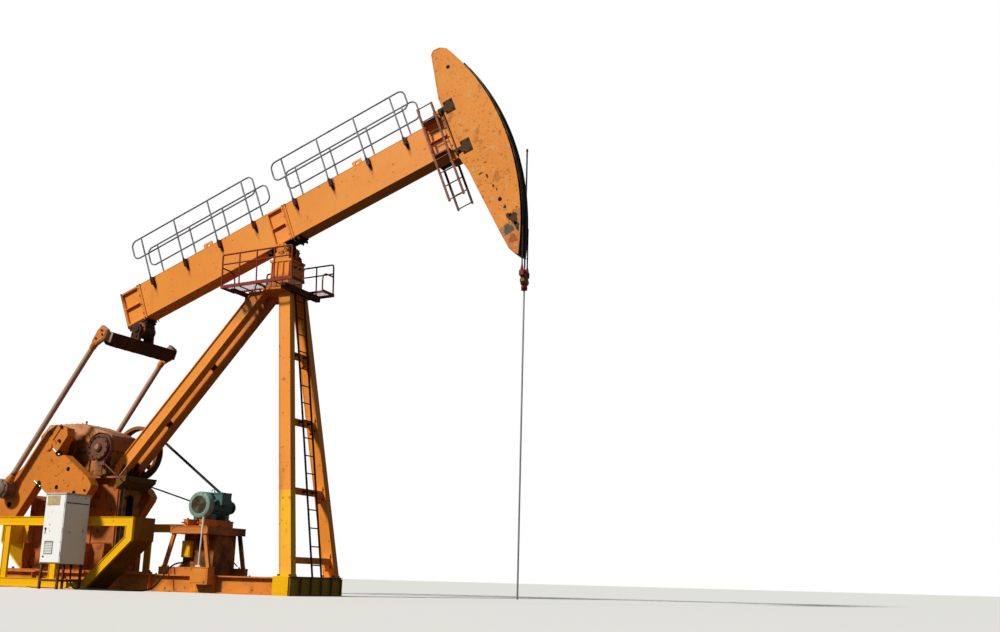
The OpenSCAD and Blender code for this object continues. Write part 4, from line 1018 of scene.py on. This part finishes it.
edges += [sweep(np.stack([lower_back[:, 0] + 0.006, 0 * lower_back[:, 0] + y, lower_back[:, 1]], 1),
                flat(0.008, 0.004), up=(0, 1, 0)) for y in (-0.191, 0.191)]
piece("head_edges", on_beam(join(*track, *edges)), head_orange, "beam")
hinge_iron = finish("rusted_hinge_plate", "#43301f",
                    [(12, 1, 7, 0.5, 0.62, 0.7, "#6d4424"), (40, 1, 3, 0.6, 0.7, 0.5, "#2a1c12")], 0.7, 0.2)
hinges = []
for x0, z0, z1 in ((4.27, 0.93, 1.20), (4.32, -0.05, 0.23)):
    hinges += [block([x0, 0.188, z0], [x0 + 0.21, 0.206, z1], 0.004),
               block([x0 - 0.15, 0.15, (z0 + z1) / 2 - 0.08], [x0 + 0.01, 0.20, (z0 + z1) / 2 + 0.05],
                     0.006), turned([[0.10, 0.034], [0.22, 0.034], [0.224, 0.03], [0.246, 0.03],
                                     [0.248, 0.01]], [x0 - 0.07, 0, (z0 + z1) / 2 - 0.02], sides=20)]
piece("hinge_plates", on_beam(both(join(*hinges))), hinge_iron, "beam")
seam = join(block([4.198, 0.174, 0.15], [4.212, 0.1835, 0.93], 0.002),
            block([4.225, 0.1885, 0.22], [4.231, 0.1925, 0.90], 0.001))
piece("head_seam", on_beam(both(seam)), shoe_rust, "beam")
head_fast = [[x + 0.14 * k, 0.206, z] for k in (0, 1) for x,
             z in ((4.30, 0.97), (4.30, 1.16), (4.35, -0.01), (4.35, 0.19))]
fasten("hinge_bolts", on_beam(both(bolts(head_fast, [0, 1, 0], 0.034, 0.018))), "beam")
# Painted shade: the two holes in each head side are black discs
holes = [turned([[0.0, 0.041], [0.003, 0.041], [0.003, 0.01]], [x, 0.1885, z], (0, 1, 0), 24) for x,
         z in ((4.63, 1.87), (4.68, -1.28))]
piece("head_holes_painted_shade", on_beam(both(join(*holes))), shade_black, "beam")


def patch(x, z, width, height, seed):
    """A ragged patch 2 mm thick on the head's near side: an ellipse whose radius at angle a is
    1 + 0.18 sin(3 a + seed) + 0.12 sin(7 a + 2 seed) + 0.08 sin(13 a + 3 seed)."""
    a = np.arange(28) * np.pi / 14
    r = 1 + 0.18 * np.sin(3 * a + seed) + 0.12 * np.sin(7 * a + 2 * seed) + 0.08 * np.sin(13 * a + 3 * seed)
    return plate(np.stack([x + width / 2 * r * np.cos(a), z + height / 2 * r * np.sin(a)], 1), -0.1912,
                 -0.1892, 0.0004)


grey_primer = finish("grey_primer", "#5f5648", [(20, 1, 6, 0.5, 0.66, 0.6, "#463a2e")], 0.7)
red_primer = finish("red_primer", "#a85a34", [(20, 1, 6, 0.52, 0.66, 0.6, "#7c3f24")], 0.7)
dark_patches = [(4.60, -0.71, 0.04, 0.10, 1), (4.50, -0.60, 0.10, 0.035, 2), (4.65, -0.96, 0.05, 0.06, 3),
                (4.69, -1.06, 0.03, 0.06, 4), (4.72, -1.47, 0.06, 0.08, 5), (4.80, -1.76, 0.17, 0.24, 6),
                (4.81, -1.93, 0.09, 0.20, 7), (4.73, -1.66, 0.12, 0.09, 8)]
piece("flaked_patches", on_beam(join(*[patch(x, z, w, h, k) for x, z, w, h, k in dark_patches])),
      hinge_iron, "beam")
piece("grey_patch", on_beam(patch(4.63, -1.92, 0.20, 0.20, 9)), grey_primer, "beam")
piece("red_patch", on_beam(patch(4.65, -2.13, 0.17, 0.17, 10)), red_primer, "beam")


# Wire ropes
# Greased six-strand ropes that lie on the arc and hang down to the carrier bar.
def laid_rope(line, radius, strands=6, lay=0.18, up=(0, 1, 0)):
    """A rope's section, a circle with a bulge per strand, turned as it goes along: radius (1 + 0.09 cos
    (strands angle)), angle plus the length gone / lay."""
    line = np.asarray(line, float)
    gone = np.concatenate([[0], np.cumsum(np.linalg.norm(np.diff(line, axis=0), axis=1))])
    angle = np.arange(18) * np.pi / 9
    ahead = np.gradient(line, axis=0)
    ahead /= np.linalg.norm(ahead, axis=1, keepdims=True)
    across = np.cross(ahead, up)
    across /= np.linalg.norm(across, axis=1, keepdims=True)
    upward = np.cross(across, ahead)
    size = radius * (0.93 + 0.07 * np.cos(strands * (angle[None] + 2 * np.pi * gone[:, None] / lay)))
    spoke = np.cos(angle)[:, None] * across[:, None] + np.sin(angle)[:, None] * upward[:, None]
    return skin(line[:, None] + size[..., None] * spoke)


rope_steel = finish("greased_wire_rope", "#3a332c", [(60, 1, 3, 0.5, 0.62, 0.6, "#5e5347")], 0.45, 0.6,
                    0.0003)
hang_x, rope_y = 5.281, 0.13
rope_angle = -tilt + (tilt + np.radians(20)) * np.arange(121) / 120
arc_ropes = [laid_rope(circle([0, y, 0], 5.2705, rope_angle), 0.014) for y in (-rope_y, rope_y)]
made = piece("arc_wire_ropes", on_beam(join(*arc_ropes)), rope_steel, "beam")
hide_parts("arc_ropes")
hang = np.array([hang_x, 0, pivot[2]]) - np.linspace(0, 0.83, 49)[:, None] * [0, 0, 1]
made = piece("bridle_ropes", join(*[laid_rope(hang + [0, y, 0], 0.014) for y in (-rope_y, rope_y)]),
             rope_steel, None)
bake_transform(made)
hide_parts("hanging_rope")

# Tail bearing
# A cast pillow block under the tail with a domed cap on each side, greasy and rusted.
coat(cast, "tail_bearing")
tail = join(turned([[0.148, 0.165], [0.158, 0.165], [0.166, 0.15], [0.166, 0.10], [0.158, 0.09]],
                   [-3.85, 0, -0.04], sides=40), block([-4.10, 0.10, 0.09], [-3.60, 0.168, 0.136]))
piece("tail_covers", on_beam(both(tail)), sheave_rust, "beam")
tail_fast = join(bolts(ring_places([-3.85, 0.166, -0.04], 0.13, 8), [0, 1, 0], 0.028, 0.014),
                 bolts([[x, 0.13, 0.09] for x in (-4.07, -3.63)], [0, 0, -1], 0.05, 0.06))
fasten("tail_bolts", on_beam(both(tail_fast)), "beam")

# Equalizer
# A box cross-bar that hangs from the tail bearing and carries both pitmans, welded from plate.
tail_at = np.array([-3.5624, 0, 5.4193])
pin_at = np.array([-5.90846, 0, 1.97173])
swing = np.arctan2(tail_at[0] - pin_at[0], tail_at[2] - pin_at[2])
bar_coat = finish("dark_brown_enamel", "#46261a",
                  [(10, 1, 7, 0.54, 0.66, 0.6, "#24140d"), (2, 1, 4, 0.45, 0.7, 0.5, "#6a3b22")], 0.6)
coat(bar_coat, "equalizer")


def on_yoke(shape):
    """From the pitmans' own frame, Z up along them from the tail bearing's axis."""
    return turn_to(shape, tail_at, swing)


lean = np.radians(-17)
bar_mid = np.array([0.143, 0, -0.332])
ends = [turn_to(block([-0.138, 0.984, -0.045], [0.138, 1.0, 0.148]), bar_mid, lean),
        turn_to(block([-0.137, 0.10, 0.138], [0.137, 0.98, 0.150]), bar_mid, lean),
        *[turn_to(block([-0.14, y, -0.145], [0.14, y + 0.012, 0.145]), bar_mid, lean)
          for y in (0.26, 0.52, 0.78)]]
piece("equalizer_plates", on_yoke(both(join(*ends))), bar_coat, "yoke")
ear_bolts = join(bolts([[0.10, 0.242, -0.12], [-0.02, 0.242, -0.14]], [0, 1, 0], 0.04, 0.022),
                 turned([[0.232, 0.075], [0.262, 0.075], [0.268, 0.068], [0.268, 0.02]], [0, 0, 0],
                        sides=28))
fasten("equalizer_bolts", on_yoke(both(ear_bolts)), "yoke")

# Pitmans
# Heavy tubes with forged heads bolted to the equalizer and bearing housings at the crank pins. The tubes are
# brown with rust through thin orange.
# Painted shade: below 2.33 m, round the pin housings, the coat is darkened
pitman_rust = finish("rusted_tube_shaded_foot", "#bb957e", [(8, 3, 8, 0.52, 0.66, 0.5, "#80553c"),
                                                (1.5, 1, 4, 0.42, 0.7, 0.5, "#c6a692"),
                                                (4, 8, 5, 0.60, 0.74, 0.4, "#bb8350")], 0.6,
                     zones=[(0.85, 0.05, "#3c2618", [((0, 0, -1), -2.33)])])
coat(pitman_rust, "pitman_near", "pitman_far")
pitman_length = float(np.linalg.norm(tail_at - pin_at))
foot = np.array([0, 0, -pitman_length])
housing = [turned([[1.165, 0.205], [1.176, 0.205], [1.182, 0.19], [1.182, 0.145]], foot, sides=48),
           turned([[1.185, 0.135], [1.206, 0.13], [1.212, 0.11], [1.212, 0.02]], foot, sides=32),
           turned([[-pitman_length + 0.12, 0.10], [-pitman_length + 0.24, 0.085],
                   [-pitman_length + 0.34, 0.064], [-pitman_length + 0.36, 0.058]], [0, 1.06, 0], (0, 0, 1),
                  24), turned([[-0.70, 0.0575], [-0.66, 0.068], [-0.58, 0.072], [-0.54, 0.066]],
                              [0, 1.06, 0], (0, 0, 1), 24),
           plate([[-0.05, -0.17], [0.11, -0.17], [0.16, -0.33], [0.06, -0.54], [-0.06, -0.54],
                  [-0.08, -0.30]], 1.108, 1.122, 0.004)]
piece("pin_housings", on_yoke(both(join(*housing[:2]))), pitman_rust, "yoke")
piece("pitman_ends", on_yoke(both(join(*housing[2:]))), crank_orange, "yoke")
housing_fast = join(bolts(ring_places(foot + [0, 1.182, 0], 0.168, 8, 0.2), [0, 1, 0], 0.034, 0.018),
                    bolts([[0.02, 1.122, -0.24], [0.09, 1.122, -0.30], [0.0, 1.122, -0.45]], [0, 1, 0],
                          0.045, 0.025))
fasten("pitman_bolts", on_yoke(both(housing_fast)), "yoke")

# Carrier
# A steel bar slung between the two ropes on poured sockets, with a load cell and a two-bolt clamp on the
# polished rod that goes down through it.
bar = join(block([5.228, -0.155, 5.905], [5.322, 0.155, 6.01], 0.008),
           block([5.238, -0.105, 5.765], [5.324, 0.105, 5.91], 0.01),
           turned([[6.005, 0.036], [6.04, 0.036], [6.045, 0.028], [6.05, 0.017]], [hang_x, 0, 0], (0, 0, 1),
                  20), *[turned([[6.0, 0.030], [6.04, 0.030], [6.06, 0.026], [6.10, 0.018], [6.12, 0.0155]],
                                [hang_x, y, 0], (0, 0, 1), 20) for y in (-rope_y, rope_y)])
made = piece("carrier_bridle", bar, maroon, "carrier")
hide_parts("carrier_bar")
mustard = finish("mustard_enamel", "#8a6420", [(20, 1, 6, 0.54, 0.66, 0.7, "#3a2612")], 0.5)
cell = join(block([5.230, -0.072, 5.745], [5.332, 0.072, 5.875], 0.012),
            block([5.236, -0.125, 5.79], [5.326, 0.125, 5.84], 0.006))
piece("load_cell", cell, mustard, "carrier")
clamp_red = finish("red_enamel", "#8e2c20", [(20, 1, 6, 0.56, 0.66, 0.7, "#4d2014")], 0.45)
clamp = join(turned([[5.642, 0.040], [5.648, 0.058], [5.728, 0.058], [5.742, 0.040], [5.75, 0.03]],
                    [hang_x, 0, 0], (0, 0, 1), 28), block([5.268, -0.10, 5.66], [5.294, 0.10, 5.72], 0.004))
piece("rod_clamp", clamp, clamp_red, "carrier")
clamp_fast = [[5.294, y, z] for y in (-0.082, 0.082) for z in (5.675, 5.705)]
piece("carrier_bolts", join(bolts(clamp_fast, [1, 0, 0], 0.022, 0.014),
                            bolts([[5.322, y, 5.955] for y in (-0.10, 0.10)], [1, 0, 0], 0.03, 0.016)),
      rusty_bolt, "carrier")

# Polished rod
# Bright round bar from the ground up through the carrier, with a small cap on top.
rod_steel = finish("polished_bar", "#b9b6b0", [(8, 4, 5, 0.55, 0.7, 0.5, "#8f8a82")], 0.35, 0.8, 0.0002,
                   zones=[(1.0, 0.05, "#3c3a3a", [((0, 0, 1), 6.04)])])
levels = np.concatenate([[0.06], np.linspace(0.10, 5.60, 45), np.linspace(5.64, 8.40, 12)])
rod_line = levels[:, None] * [0, 0, 1] + [hang_x, 0, 0]
rod = join(tube(rod_line, 0.0158, 16, (0, 1, 0)),
           turned([[8.38, 0.0165], [8.382, 0.022], [8.425, 0.022], [8.438, 0.014]], [hang_x, 0, 0],
                  (0, 0, 1), 16))
made = piece("round_rod", rod, rod_steel, None)
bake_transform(made)
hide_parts("polished_rod")

bpy.context.view_layer.update()
